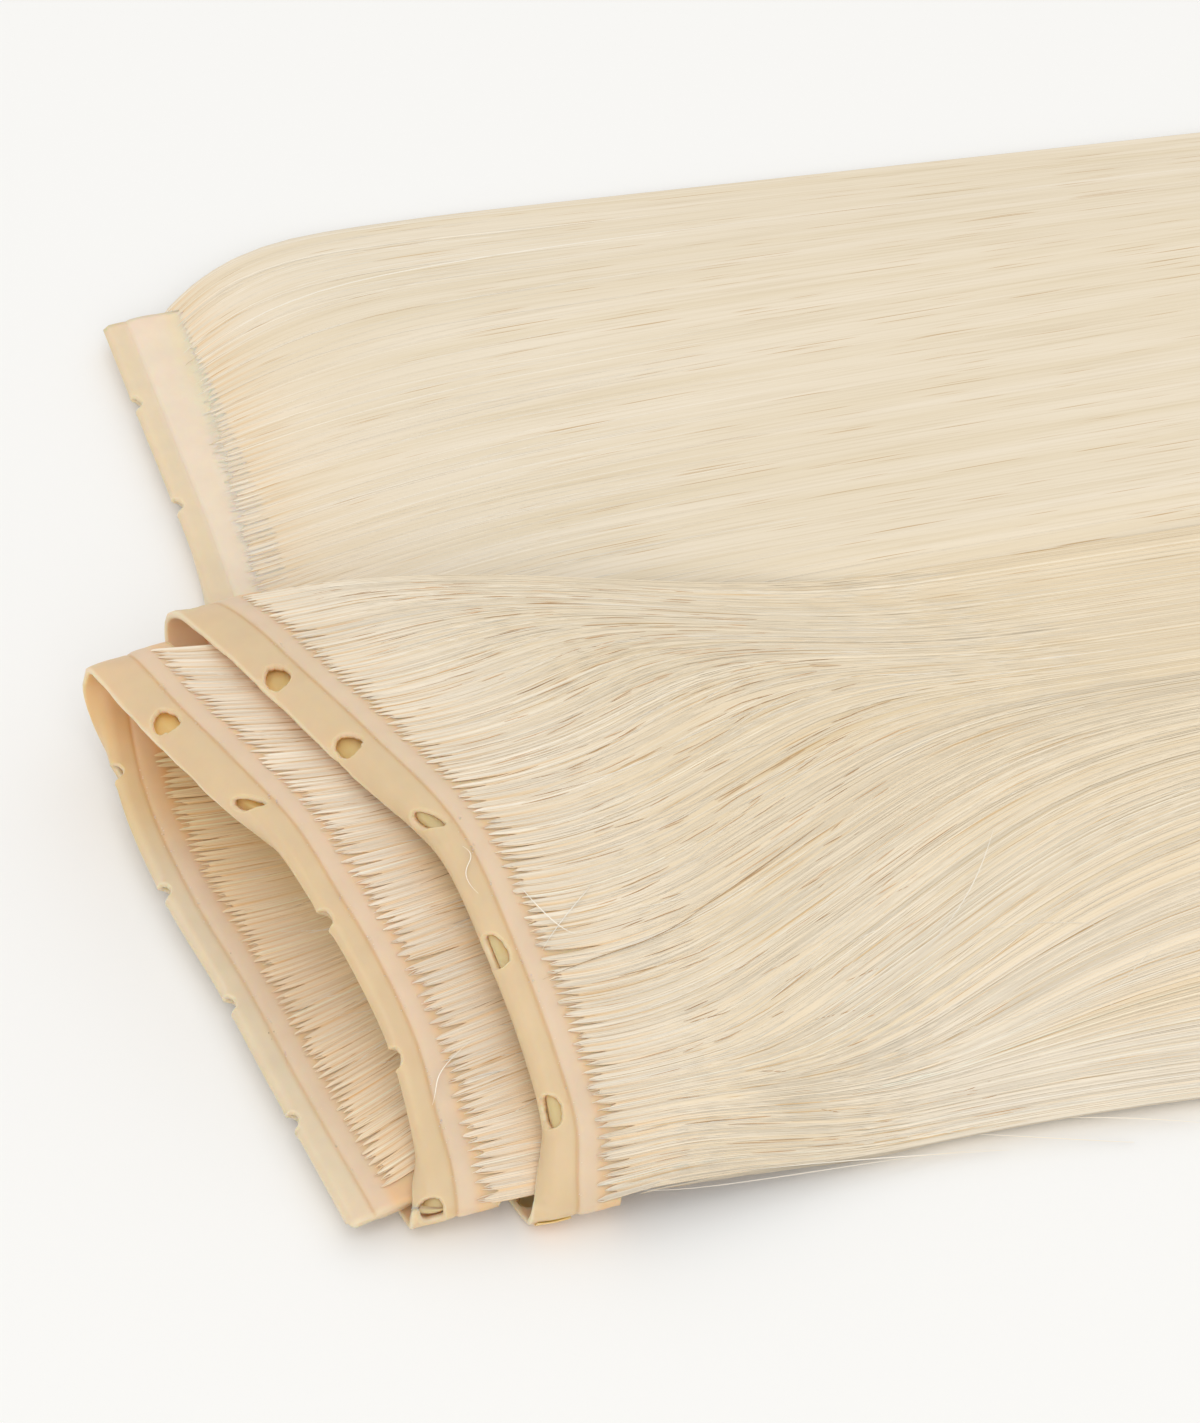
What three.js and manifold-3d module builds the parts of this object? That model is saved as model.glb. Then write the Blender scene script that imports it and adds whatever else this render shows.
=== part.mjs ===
// Hair weft: a punched polyurethane band, wound into a flat roll that is drawn apart sideways,
// with the hair of each run of the band lying in its own layer.
// Millimetres, +Z up. The hair points to +X and the band's folds lie at both ends of Y.
import * as THREE from 'three';
import { mergeVertices } from 'three/addons/utils/BufferGeometryUtils.js';
import Module from 'manifold-3d';

const { degToRad, lerp, smoothstep } = THREE.MathUtils;

// Band section, from the free edge of the flange to the end of the tongue
const FLANGE_WIDTH = 3.1;
const FLANGE_THICK = 0.9;
const SEAM_THICK = 0.75;
const STRIP_WIDTH = 2.0;
const STRIP_THICK = 1.1;
const STRIP_BEVEL = 0.3;
const TONGUE_WIDTH = 5.0;
const TONGUE_THICK = 0.5;
const CREASE_START = 0.7;
const CREASE_END = 2.5;
const FLANGE_STEPS = 3;
const FLANGE_PARTS = 12;

// Punched holes
const HOLE_DIAMETER = 2.1;
const HOLE_INSET = 1.75;
const HOLE_SIDES = 10;
const PUNCH_LENGTH = 2.6;

// Route of the seam between flange and strip. One row for each bend of the route: its place, the
// heading and pitch of the hair side, the curl of the flange, and the number of sections up to the
// next row. A flange of positive curl rolls away from the face that is up on the first run.
const ROUTE_PARTS = 40;
const BAND_COLUMNS = ['x', 'y', 'z', 'heading', 'pitch', 'curl', 'steps'];
const BAND_ROWS = [
  // First run, on the left, from the inner cut end
  [-24.2, -46.4, 2.3, 20, 2, 70, 2],
  [-27.9, -34.0, 2.4, 16, 2, 100, 2],
  [-30.7, -23.8, 2.4, 15, 2, 100, 2],
  [-33.5, -15.0, 2.5, 16, 0, 100, 2],
  [-35.4, -6.8, 2.9, 14, 0, 80, 2],
  // First fold
  [-36.0, -1.0, 3.6, 10, 0, 20, 3],
  [-36.0, 3.8, 6.2, 8, 0, 0, 3],
  [-35.6, 3.6, 8.9, 12, 0, -10, 3],
  // Second run, arched
  [-32.5, -2.9, 9.9, 28, 0, -30, 2],
  [-28.8, -10.5, 10.8, 26, 0, -35, 2],
  [-25.6, -17.4, 11.4, 22, 0, -70, 2],
  [-23.5, -23.7, 11.1, 20, 0, -75, 2],
  [-21.4, -29.4, 9.8, 18, 0, -75, 2],
  [-19.6, -35.3, 7.4, 14, 0, -75, 2],
  [-18.9, -40.8, 5.2, 10, 0, -65, 2],
  [-18.5, -45.2, 4.1, 8, 0, -35, 3],
  // Second fold
  [-18.6, -47.2, 2.8, 9, 2, -30, 3],
  [-18.9, -45.8, 1.5, 12, 9, 0, 3],
  // Third run, hidden
  [-21.0, -39.0, 1.3, 14, 7, 0, 2],
  [-25.5, -22.0, 1.3, 14, 6, 0, 2],
  [-28.6, -5.0, 1.8, 14, 3, 0, 2],
  // Third fold
  [-29.2, 5.0, 3.2, 10, 0, 0, 3],
  [-29.2, 9.0, 6.2, 4, 0, 0, 3],
  [-28.4, 7.4, 9.3, 8, 0, 0, 3],
  // Fourth run, arched over the second
  [-26.4, 3.6, 11.1, 26, 0, -10, 2],
  [-23.0, -3.9, 12.8, 27, 0, -15, 2],
  [-19.0, -12.1, 13.9, 25, 0, -25, 2],
  [-14.3, -22.8, 15.0, 19, 0, -60, 2],
  [-11.7, -33.0, 12.4, 14, 0, -75, 2],
  [-10.3, -39.3, 9.4, 10, 0, -75, 2],
  [-9.6, -44.4, 7.0, 6, 0, -65, 2],
  [-10.0, -47.3, 4.8, 2, 0, -60, 3],
  // Fourth fold
  [-10.2, -48.4, 2.8, 4, 2, -30, 3],
  [-10.6, -46.8, 1.1, 10, 4, 0, 3],
  // Fifth run, along the table to the outer cut end
  [-12.7, -41.0, 0.8, 14, 3, 0, 2],
  [-17.0, -27.0, 0.8, 14, 3, 0, 2],
  [-21.6, -7.0, 0.8, 14, 2, 0, 2],
  [-25.6, 10.0, 1.4, 12, 0, 40, 3],
  [-27.6, 23.5, 1.9, 9, 0, 90, 2],
  [-29.6, 36.0, 2.0, 9, 0, 90, 2],
  [-31.4, 47.4, 2.0, 9, 0, 90, 0],
].map((row) => Object.fromEntries(BAND_COLUMNS.map((name, i) => [name, row[i]])));

// Rows of holes, measured along the seam from the inner cut end
const HOLE_ROWS = [
  { first: 10.4, pitch: 11.7, count: 4 },
  { first: 63.3, pitch: 12.0, count: 5 },
  { first: 124.0, pitch: 12.4, count: 5 },
  { first: 186.6, pitch: 9.7, count: 3 },
  { first: 218.4, pitch: 12.2, count: 10 },
];

// Hair. Each run's hair starts on its stretch of the band, from one route row to another, and
// settles to its layer of the pile between the heights low and high. Sweep is the share that it
// takes of the sideways sweep below, and fan is how far its far edge spreads.
const HAIR_LENGTH = 355;
const HAIR_CLEAR = 0.35;
const ROOT_THICK = 0.45;
const HAIR_STATIONS = [0, 5, 12, 21, 32, 46, 66, 100, 150, 205, 260, 305];
const GROUND_LAYER = 1.6;
const LEAST_LAYER = 0.3;
const HAIR_COLUMNS = ['node', 'from', 'to', 'locks', 'low', 'high', 'lift', 'sweep', 'fan'];
const HAIR_ROWS = [
  ['hair_turn_5', 34.2, 39.9, 12, 0, GROUND_LAYER, 26, 0, 7.5],
  ['hair_turn_3', 18.3, 20.9, 3, 2.1, 3.1, 30, 0, 0],
  ['hair_turn_1', 0.6, 4.9, 4, 3.7, 4.7, 30, 0.15, 0],
  ['hair_turn_2', 8.2, 14.0, 5, 5.3, 6.5, 36, 0.3, 0],
  ['hair_turn_4', 24.1, 30.9, 10, 7.1, 8.6, 55, 1, 0],
].map((row) => Object.fromEntries(HAIR_COLUMNS.map((name, i) => [name, row[i]])));
const LOCK_COLUMNS = 3;
const LOCK_RELIEF = 0.4;
const LOCK_NOTCH = 16;
const LOCK_UNEVEN = 9;
const UNEVEN_STEPS = [2.4, 1.3];
const RELIEF_REACH = 40;
const TIP_DROP = 0.6;

// Sideways sweep of the top layer, by the place of the root along Y
const SWEEP_ROWS = [
  { y: -48, shift: 0 },
  { y: -44, shift: 6 },
  { y: -40, shift: 15 },
  { y: -34, shift: 18 },
  { y: -22, shift: 10 },
  { y: -10, shift: 1 },
  { y: 10, shift: -2 },
];
const SWEEP_REACH = 48;
const TURN_REACH = 8;
const FAN_ROOTS = [12, 48];
const FAN_REACH = 44;

// Outline of the settled pile
const PILE_NEAR = [-54, -34];
const PILE_STEP = [1, 16];
const FAR_LAYER = 2.4;
const FAR_EDGE = [40, 62];
const PILE_THIN = [110, 340];
const PILE_END = 0.45;
const GATHER = [90, 330];
const GATHER_SHARE = 0.24;
const GATHER_MIDDLE = 2;

const BAND_COLOUR = 0xe2cba3;
const HAIR_COLOUR = 0xe4d4ba;

const wasm = await Module();
wasm.setup();

// Closed solids from rings of points

function closedGeometry(points, triangles) {
  const geometry = new THREE.BufferGeometry();
  geometry.setAttribute('position', new THREE.Float32BufferAttribute(points.flatMap((p) => p.toArray()), 3));
  geometry.setIndex(triangles.flat());
  return geometry;
}

function toSolid(geometry) {
  const bare = geometry.clone();
  bare.deleteAttribute('normal');
  bare.deleteAttribute('uv');
  const merged = mergeVertices(bare);
  const mesh = new wasm.Mesh({
    numProp: 3,
    vertProperties: Float32Array.from(merged.attributes.position.array),
    triVerts: Uint32Array.from(merged.index.array),
  });
  return new wasm.Manifold(mesh);
}

function fromSolid(solid) {
  const mesh = solid.getMesh();
  const geometry = new THREE.BufferGeometry();
  geometry.setAttribute('position', new THREE.Float32BufferAttribute(mesh.vertProperties, 3));
  geometry.setIndex(Array.from(mesh.triVerts));
  return geometry;
}

// Triangles across a ring whose two sides run beside each other, as the rungs of a ladder do
function ladderTriangles(size) {
  const triangles = [];
  for (let i = 0; i + 1 < size - 1 - i; i += 1) {
    const near = size - 1 - i;
    const next = near - 1;
    triangles.push([i, i + 1, near]);
    if (next > i + 1) triangles.push([i + 1, next, near]);
  }
  return triangles;
}

function volume(points, triangles) {
  const sum = (total, [i, j, k]) => total + points[i].dot(points[j].clone().cross(points[k]));
  return triangles.reduce(sum, 0);
}

// Joins a row of equal rings into one closed solid
function loft(rings) {
  const size = rings[0].length;
  const points = rings.flat();
  const triangles = [];
  for (let r = 0; r + 1 < rings.length; r += 1) {
    for (let k = 0; k < size; k += 1) {
      const a = r * size + k;
      const b = r * size + ((k + 1) % size);
      triangles.push([a, b, b + size], [a, b + size, a + size]);
    }
  }
  const last = (rings.length - 1) * size;
  for (const [i, j, k] of ladderTriangles(size)) {
    triangles.push([k, j, i], [last + i, last + j, last + k]);
  }
  const inward = volume(points, triangles) < 0;
  return closedGeometry(points, inward ? triangles.map(([i, j, k]) => [k, j, i]) : triangles);
}

// Route of the band

const route = new THREE.CatmullRomCurve3(BAND_ROWS.map((row) => new THREE.Vector3(row.x, row.y, row.z)));
const lastRow = BAND_ROWS.length - 1;

// Place and directions of the band at a row number, whole or between two rows
function bandFrame(at) {
  const row = Math.min(Math.floor(at), lastRow - 1);
  const between = at - row;
  const value = (name) => lerp(BAND_ROWS[row][name], BAND_ROWS[row + 1][name], between);
  const heading = degToRad(value('heading'));
  const pitch = degToRad(value('pitch'));
  const seam = route.getPoint(at / lastRow);
  const along = route.getTangent(at / lastRow);
  const across = new THREE.Vector3(
    Math.cos(heading) * Math.cos(pitch),
    Math.sin(heading) * Math.cos(pitch),
    Math.sin(pitch),
  );
  across.addScaledVector(along, -across.dot(along)).normalize();
  const face = new THREE.Vector3().crossVectors(across, along);
  return { seam, along, across, face, curl: degToRad(value('curl')) };
}

function placeOn(frame, [u, v]) {
  return frame.seam.clone().addScaledVector(frame.across, u).addScaledVector(frame.face, v);
}

// Middle line of the flange at a distance from the seam: its place and its slope
function flangeLine(frame, distance) {
  const step = distance / FLANGE_PARTS;
  let u = 0;
  let v = 0;
  let slope = 0;
  for (let i = 0; i < FLANGE_PARTS; i += 1) {
    slope = frame.curl * smoothstep((i + 0.5) * step, CREASE_START, CREASE_END);
    u -= step * Math.cos(slope);
    v -= step * Math.sin(slope);
  }
  return { u, v, slope };
}

// Outline of the band's section as plane points, once around
function bandSection(frame) {
  const upper = [];
  const lower = [];
  for (let i = FLANGE_STEPS; i > 0; i -= 1) {
    const { u, v, slope } = flangeLine(frame, (FLANGE_WIDTH * i) / FLANGE_STEPS);
    const half = FLANGE_THICK / 2;
    const offset = [-Math.sin(slope) * half, Math.cos(slope) * half];
    upper.push([u + offset[0], v + offset[1]]);
    lower.push([u - offset[0], v - offset[1]]);
  }
  const straight = [
    [0, SEAM_THICK],
    [STRIP_BEVEL, STRIP_THICK],
    [STRIP_WIDTH - STRIP_BEVEL, STRIP_THICK],
    [STRIP_WIDTH, TONGUE_THICK],
    [STRIP_WIDTH + TONGUE_WIDTH, TONGUE_THICK],
  ];
  for (const [u, thick] of straight) {
    upper.push([u, thick / 2]);
    lower.push([u, -thick / 2]);
  }
  return [...upper, ...lower.reverse()];
}

// Row numbers of the band's sections
function sectionRows() {
  const rows = [];
  BAND_ROWS.slice(0, -1).forEach((row, index) => {
    for (let i = 0; i < row.steps; i += 1) rows.push(index + i / row.steps);
  });
  return [...rows, lastRow];
}

// Row number at a distance along the seam
function rowAt(distance) {
  let before = route.getPoint(0);
  let length = 0;
  for (let i = 1; i <= lastRow * ROUTE_PARTS; i += 1) {
    const point = route.getPoint(i / (lastRow * ROUTE_PARTS));
    length += point.distanceTo(before);
    if (length >= distance) return i / ROUTE_PARTS;
    before = point;
  }
  return lastRow;
}

function punch(distance) {
  const frame = bandFrame(rowAt(distance));
  const { u, v, slope } = flangeLine(frame, HOLE_INSET);
  const axis = new THREE.Vector3();
  axis.addScaledVector(frame.across, -Math.sin(slope)).addScaledVector(frame.face, Math.cos(slope));
  const radius = HOLE_DIAMETER / 2;
  const geometry = new THREE.CylinderGeometry(radius, radius, PUNCH_LENGTH, HOLE_SIDES);
  geometry.applyQuaternion(new THREE.Quaternion().setFromUnitVectors(new THREE.Vector3(0, 1, 0), axis));
  geometry.translate(...placeOn(frame, [u, v]).toArray());
  return toSolid(geometry);
}

function bandGeometry() {
  const frames = sectionRows().map(bandFrame);
  const rings = frames.map((frame) => bandSection(frame).map((point) => placeOn(frame, point)));
  let solid = toSolid(loft(rings));
  for (const { first, pitch, count } of HOLE_ROWS) {
    for (let i = 0; i < count; i += 1) solid = solid.subtract(punch(first + i * pitch));
  }
  return fromSolid(solid);
}

// Hair

function sweepAt(y) {
  const after = Math.max(1, SWEEP_ROWS.findIndex((row) => row.y >= y));
  const a = SWEEP_ROWS[after - 1];
  const b = SWEEP_ROWS[after];
  return lerp(a.shift, b.shift, smoothstep(y, a.y, b.y));
}

// Lower and upper face of a settled layer at a place on the table
function layerAt(row, x, y) {
  const thin = lerp(1, PILE_END, smoothstep(x, ...PILE_THIN));
  const near = smoothstep(y, ...PILE_NEAR);
  const step = smoothstep(y, ...PILE_STEP);
  const edge = 1 - smoothstep(y, ...FAR_EDGE);
  const ground = thin * near * Math.max(edge * lerp(GROUND_LAYER, FAR_LAYER, step), LEAST_LAYER);
  if (row.low === 0) return { low: 0, high: ground };
  const above = (height) => ground + (height - GROUND_LAYER) * thin * near * (1 - step);
  return { low: above(row.low), high: above(row.high) };
}

// Uneven share for lock number i, between -1 and 1
function uneven(i) {
  return Math.sin(i * UNEVEN_STEPS[0]) * Math.cos(i * UNEVEN_STEPS[1]);
}

// One slice along the hair, from the root over the top to the tip and back underneath
function hairSlice(row, column, count) {
  const frame = bandFrame(lerp(row.from, row.to, column / count));
  const facesUp = Math.sign(frame.face.z);
  const rootAt = (u) => placeOn(frame, [u, facesUp * (TONGUE_THICK / 2 + HAIR_CLEAR)]);
  const root = rootAt(STRIP_WIDTH + HAIR_CLEAR);
  const overTongue = rootAt(STRIP_WIDTH + TONGUE_WIDTH);
  const valley = column % LOCK_COLUMNS === 0 ? 1 : 0;
  const lock = Math.floor(column / LOCK_COLUMNS);
  const turn = frame.across.y / frame.across.x;
  const sweep = row.sweep * sweepAt(root.y);
  const fan = row.fan * smoothstep(root.y, ...FAN_ROOTS);
  const length = HAIR_LENGTH - LOCK_UNEVEN * (1 + uneven(lock)) - valley * LOCK_NOTCH;
  const upper = [];
  const lower = [];
  for (const d of [...HAIR_STATIONS, length]) {
    const x = root.x + d;
    const bent = root.y + turn * TURN_REACH * (1 - Math.exp(-d / TURN_REACH));
    const swept = bent + sweep * smoothstep(d, 0, SWEEP_REACH) + fan * smoothstep(d, 0, FAN_REACH);
    const y = swept + (GATHER_MIDDLE - swept) * GATHER_SHARE * smoothstep(x, ...GATHER);
    const layer = layerAt(row, x, y);
    const settled = smoothstep(d, TONGUE_WIDTH, row.lift);
    const base = d <= TONGUE_WIDTH ? lerp(root.z, overTongue.z, d / TONGUE_WIDTH) : overTongue.z;
    const low = lerp(base, layer.low, settled);
    const high = lerp(base + ROOT_THICK, layer.high, settled);
    const relief = valley * LOCK_RELIEF * (high - low) * smoothstep(d, 0, RELIEF_REACH);
    upper.push(new THREE.Vector3(x, y, high - relief));
    lower.push(new THREE.Vector3(x, y, low));
  }
  const tip = upper.pop().lerp(lower.pop(), TIP_DROP);
  return [...upper, tip, ...lower.reverse()];
}

function hairGeometry(row) {
  const count = row.locks * LOCK_COLUMNS;
  return loft(Array.from({ length: count + 1 }, (_, column) => hairSlice(row, column, count)));
}

// Assembly

const bandMaterial = new THREE.MeshStandardMaterial({ color: BAND_COLOUR, roughness: 0.45, metalness: 0 });
const hairMaterial = new THREE.MeshStandardMaterial({ color: HAIR_COLOUR, roughness: 0.4, metalness: 0 });

function namedMesh(name, geometry, material) {
  const mesh = new THREE.Mesh(geometry, material);
  mesh.name = name;
  return mesh;
}

const weft = new THREE.Group();
weft.add(namedMesh('pu_band', bandGeometry(), bandMaterial));
for (const row of HAIR_ROWS) {
  weft.add(namedMesh(row.node, hairGeometry(row), hairMaterial));
}

// The origin is under the middle of the whole part, on the table
const box = new THREE.Box3().setFromObject(weft);
const middle = box.getCenter(new THREE.Vector3());
weft.position.set(-middle.x, -middle.y, -box.min.z);

const part = new THREE.Group();
part.add(weft);
part.updateMatrixWorld(true);

export default part;
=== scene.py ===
"""Looks of a pale blonde hair weft: a punched polyurethane band, wound into a flat roll, and its hair.

Lengths are millimetres in the frame of the band's route until place() makes them row-frame metres.
"""
import math

import bpy
import numpy as np
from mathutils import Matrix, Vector, geometry


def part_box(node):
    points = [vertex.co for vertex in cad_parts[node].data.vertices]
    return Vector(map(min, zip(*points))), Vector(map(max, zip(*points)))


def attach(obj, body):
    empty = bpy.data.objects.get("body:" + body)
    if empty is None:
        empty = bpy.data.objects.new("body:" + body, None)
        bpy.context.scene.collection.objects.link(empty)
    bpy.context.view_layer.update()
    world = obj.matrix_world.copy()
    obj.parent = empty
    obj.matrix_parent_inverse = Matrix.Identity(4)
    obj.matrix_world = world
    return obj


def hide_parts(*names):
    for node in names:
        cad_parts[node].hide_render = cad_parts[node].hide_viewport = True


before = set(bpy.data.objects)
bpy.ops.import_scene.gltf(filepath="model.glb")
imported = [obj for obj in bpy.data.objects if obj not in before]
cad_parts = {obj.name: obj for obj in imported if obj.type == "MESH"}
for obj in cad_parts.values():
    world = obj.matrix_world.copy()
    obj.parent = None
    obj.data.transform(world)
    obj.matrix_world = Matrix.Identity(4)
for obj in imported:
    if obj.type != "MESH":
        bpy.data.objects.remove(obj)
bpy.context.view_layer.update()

MM = 0.001
SEED = 11
TINY = 1e-12

# Lowest corner of the band in the route's own millimetres
BAND_LOW = (-39.224, -48.937, 0.036)

# Route of the seam between flange and strip: place, heading and pitch of the hair side, and curl of
# the flange. Rows below are counted from 0 along this table, with shares between them.
BAND_ROWS = np.array([
    # x, y, z, heading, pitch, curl
    # First run, on the left, from the inner cut end
    (-24.2, -46.4, 2.3, 20, 2, 110),
    (-27.9, -34.0, 2.4, 16, 2, 142),
    (-30.7, -23.8, 2.4, 15, 2, 145),
    (-33.5, -15.0, 2.5, 16, 0, 145),
    (-35.4, -6.8, 2.9, 14, 0, 140),
    # First fold
    (-36.0, -1.0, 3.6, 10, 0, 105),
    (-36.0, 3.8, 6.2, 8, 0, 10),
    (-35.6, 3.6, 8.9, 12, 0, -10),
    # Second run, arched
    (-32.5, -2.9, 9.9, 28, 0, -30),
    (-28.8, -10.5, 10.8, 26, 0, -52),
    (-25.6, -17.4, 11.4, 22, 0, -110),
    (-23.5, -23.7, 11.1, 20, 0, -140),
    (-21.4, -29.4, 9.8, 18, 0, -145),
    (-19.6, -35.3, 7.4, 14, 0, -142),
    (-18.9, -40.8, 5.2, 10, 0, -120),
    (-18.5, -45.2, 4.1, 8, 0, -50),
    # Second fold
    (-18.6, -47.2, 2.8, 9, 2, -30),
    (-18.9, -45.8, 1.5, 12, 9, 0),
    # Third run, hidden
    (-21.0, -39.0, 1.3, 14, 7, 0),
    (-25.5, -22.0, 1.3, 14, 6, 0),
    (-28.6, -5.0, 1.8, 14, 3, 0),
    # Third fold
    (-29.2, 5.0, 3.2, 10, 0, 0),
    (-29.2, 9.0, 6.2, 4, 0, 0),
    (-28.4, 7.4, 9.3, 8, 0, 0),
    # Fourth run, arched over the second
    (-26.4, 3.6, 11.1, 26, 0, -10),
    (-23.0, -3.9, 12.8, 27, 0, -15),
    (-19.0, -12.1, 13.9, 25, 0, -40),
    (-14.3, -22.8, 15.0, 19, 0, -100),
    (-11.7, -33.0, 12.4, 14, 0, -108),
    (-10.3, -39.3, 9.4, 10, 0, -104),
    (-9.6, -44.4, 7.0, 6, 0, -85),
    (-10.0, -47.3, 4.8, 2, 0, -60),
    # Fourth fold
    (-10.2, -48.4, 2.8, 4, 2, -30),
    (-10.6, -46.8, 1.1, 10, 4, 0),
    # Fifth run, along the table to the outer cut end
    (-12.7, -41.0, 0.8, 14, 3, 0),
    (-17.0, -27.0, 0.8, 14, 3, 0),
    (-21.6, -7.0, 0.8, 14, 2, 0),
    (-25.6, 10.0, 1.4, 12, 0, 40),
    (-27.6, 23.5, 1.9, 9, 0, 142),
    (-29.6, 36.0, 2.0, 9, 0, 145),
    (-31.4, 47.4, 2.0, 9, 0, 140),
], float)
LAST_ROW = len(BAND_ROWS) - 1

# Section of the band: widths, and where the flange creases, which is sharper along some rows
FLANGE_WIDTH = 3.1
STRIP_WIDTH = 2.0
TONGUE_WIDTH = 5.0
CREASE = (0.7, 2.5)
SHARP_CREASE = (1.25, 2.15)
SHARP_ROWS = ((-2.0, 5.4), (10.4, 15.0), (37.2, 42.0))
SHARP_SOFT = 0.7
FLANGE_PARTS = 12
CUT_FLANGE = 1.7
CUT_LENGTH = 3.5
# Distance across from the seam, the hair side positive, and thickness
SECTION = np.array([
    (-3.1, 0.50), (-2.9, 0.60), (-2.5, 0.62), (-2.1, 0.62), (-1.75, 0.62), (-1.4, 0.62), (-1.0, 0.62),
    (-0.65, 0.62), (-0.4, 0.62), (-0.2, 0.61), (-0.08, 0.56), (0.0, 0.53), (0.08, 0.59), (0.18, 0.70),
    (0.4, 0.82), (0.8, 0.88), (1.2, 0.88), (1.55, 0.86), (1.8, 0.83), (2.0, 0.80), (2.3, 0.73),
    (3.0, 0.57), (4.0, 0.42), (5.5, 0.28), (7.0, 0.18),
])
# Grid of the band, its free edge, and the kind and least distance of its triangulation
ALONG_STEP = 0.42
EDGE_BULGE = 0.12
EDGE_REACH = 0.3
EDGE_WAVE = 0.05
EDGE_WAVES = (1.3, 0.37)
EDGE_RAG = 0.012
CDT_INSIDE = 1
CDT_NEAR = 1e-6
# Rows where the tongue is cut short: the folds and the outer end
FOLD_ROWS = ((5.0, 7.9), (15.7, 17.8), (21.0, 24.3), (31.4, 34.0))
FOLD_SOFT = 0.7
FOLD_TONGUE = 0.22
OUTER_ROWS = (38.6, 39.6)
OUTER_TRIM = 0.3

# Punched holes, measured along the seam from the inner cut end
HOLE_ROWS = [
    # first, pitch, count
    (10.4, 11.7, 4),
    (63.3, 12.0, 5),
    (124.0, 12.4, 5),
    (186.6, 9.7, 3),
    (218.4, 12.2, 10),
]
HOLE_RADIUS = 1.04
HOLE_INSET = 1.75
SHARP_HOLE_RADIUS = 0.9
SHARP_HOLE_INSET = 2.05
# Holes in sight that the folds pulled out of round, by their place along the seam
HOLE_SHAPES = {
    # half length, half width, lean, shift along, shift towards the seam
    63.3: (1.35, 1.06, 0.0, 0.35, 0.18),
    75.3: (1.25, 0.98, 0.7, -0.5, 0.25),
    186.6: (1.42, 1.08, -0.25, 0.1, -0.04),
    196.3: (1.2, 1.1, 0.2, -0.1, -0.02),
    206.0: (1.5, 1.0, 0.6, 0.4, 0.2),
    218.4: (1.4, 1.2, 0.0, 0.1, 0.15),
    230.6: (1.4, 1.15, 0.0, 0.3, 0.05),
}
HOLE_NEAR = 2.6
HOLE_CLEAR = 1.32
HOLE_POINTS = 40
HOLE_LOBES = 0.05
HOLE_RAG = 0.026
RIM_WIDTH = 0.04

# Hair runs by CAD node: first and last row of the roots, side of the band, shares of the pile's height,
# distance in which the hair settles, and tint. The top run also rides over the pile by a height, and
# sinks at its first roots.
HAIR_LENGTH = 355.0
HAIR_RUNS = {
    "hair_turn_5": dict(rows=(34.2, 39.85), side=1, low=0.0, high=0.19, lift=26.0, tint=(243, 232, 212)),
    "hair_turn_3": dict(rows=(18.3, 20.9), side=1, low=0.24, high=0.36, lift=30.0, tint=(248, 228, 196)),
    # The first run's tint is warmer: painted warm shade of its hollow under the fold, faded to LOOSE_TINT
    # by tint_grid
    "hair_turn_1": dict(rows=(0.12, 5.0), side=1, low=0.43, high=0.55, lift=30.0, tint=(251, 227, 191)),
    "hair_turn_2": dict(rows=(7.2, 15.8), side=-1, low=0.62, high=0.76, lift=36.0, tint=(247, 229, 201)),
    "hair_turn_4": dict(rows=(23.3, 31.75), side=-1, low=0.83, high=1.0, lift=52.0, tint=(245, 229, 201),
                        over=0.2, sink=1.0),
}
# Distances from the root at which a path is kept, and the one that tells how the hair fans out
STATIONS = np.array([
    0, 0.6, 1.3, 2.2, 3.3, 4.7, 6.5, 8.7, 11.2, 14, 17, 20, 23, 26, 29, 32, 35, 38.5, 42.5, 47, 52, 58,
    66, 77, 92, 112, 140, 175, 215, 255, 290, 322, HAIR_LENGTH,
])
SPREAD_STATION = 19
ROOT_REACH = 32.0
FLOW_STEP = 0.7
FLOW_ROOTS = 220
DENSE_ROOTS = 6.0
DENSE_COUNT = 130
GRID_END = 1.001
PLANE_LEAST = 0.3
PLANE_LEAN = 1.2
NEAR_ROOTS = (-47.0, -38.0)
NEAR_LIFT = 0.45
SETTLE_EARLY = 0.5
SINK_ROOTS = 2.6

# Levelling of the top run: samples, cells of its field, blur, and the distances, roots and y it covers
EVEN_ROOTS = 600
EVEN_REACH = (5, 135, 0.6)
EVEN_LOW = np.array([-45.0, -60.0])
EVEN_CELL = 0.8
EVEN_SIZE = (230, 120)
EVEN_BLUR = 2.6
EVEN_BLUR_CELLS = 9
LEAST_WEIGHT = 1e-9
EVEN_START = (6, 18)
EVEN_END = (90, 125)
EVEN_FIRST = (2, 6)
EVEN_NEAR = (-46, -38)

# Far edge of the fourth run, where it meets the fifth
EDGE_START = (-26.0, 7.0)
EDGE_SLOPE = 0.07
EDGE_SOFT = (-6, 2)

# Combed direction of the top layer, in degrees from +X
COMB_PEAK = 31.0
COMB_BASE = 2.0
COMB_REACH = 35.0
COMB_MIDDLE = -26.0
COMB_BEND = 0.07
COMB_FADE = 22.0
COMB_START = 0.12
COMB_RISE = 17.0
# Near edge of that layer: its y, first heading, fall of the heading, and x of the fall and the return
NEAR_EDGE_Y = (-45, -37)
NEAR_EDGE_HEADING = 6.5
NEAR_EDGE_FALL = 9
NEAR_EDGE_FALL_X = (-2, 50)
NEAR_EDGE_BACK_X = (46, 72)
# Second and first runs: headings by the y of the roots, what they turn to, and the distances of the turn
SECOND_HEADINGS = (18, -6)
SECOND_Y = (-30, -4)
SECOND_NEAR = 7
SECOND_SHARE = 0.5
SECOND_TURN = (14, 34)
FIRST_HEADINGS = (31, 4)
FIRST_Y = (-42, -8)
FIRST_END = 8
FIRST_TURN = (16, 40)
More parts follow.
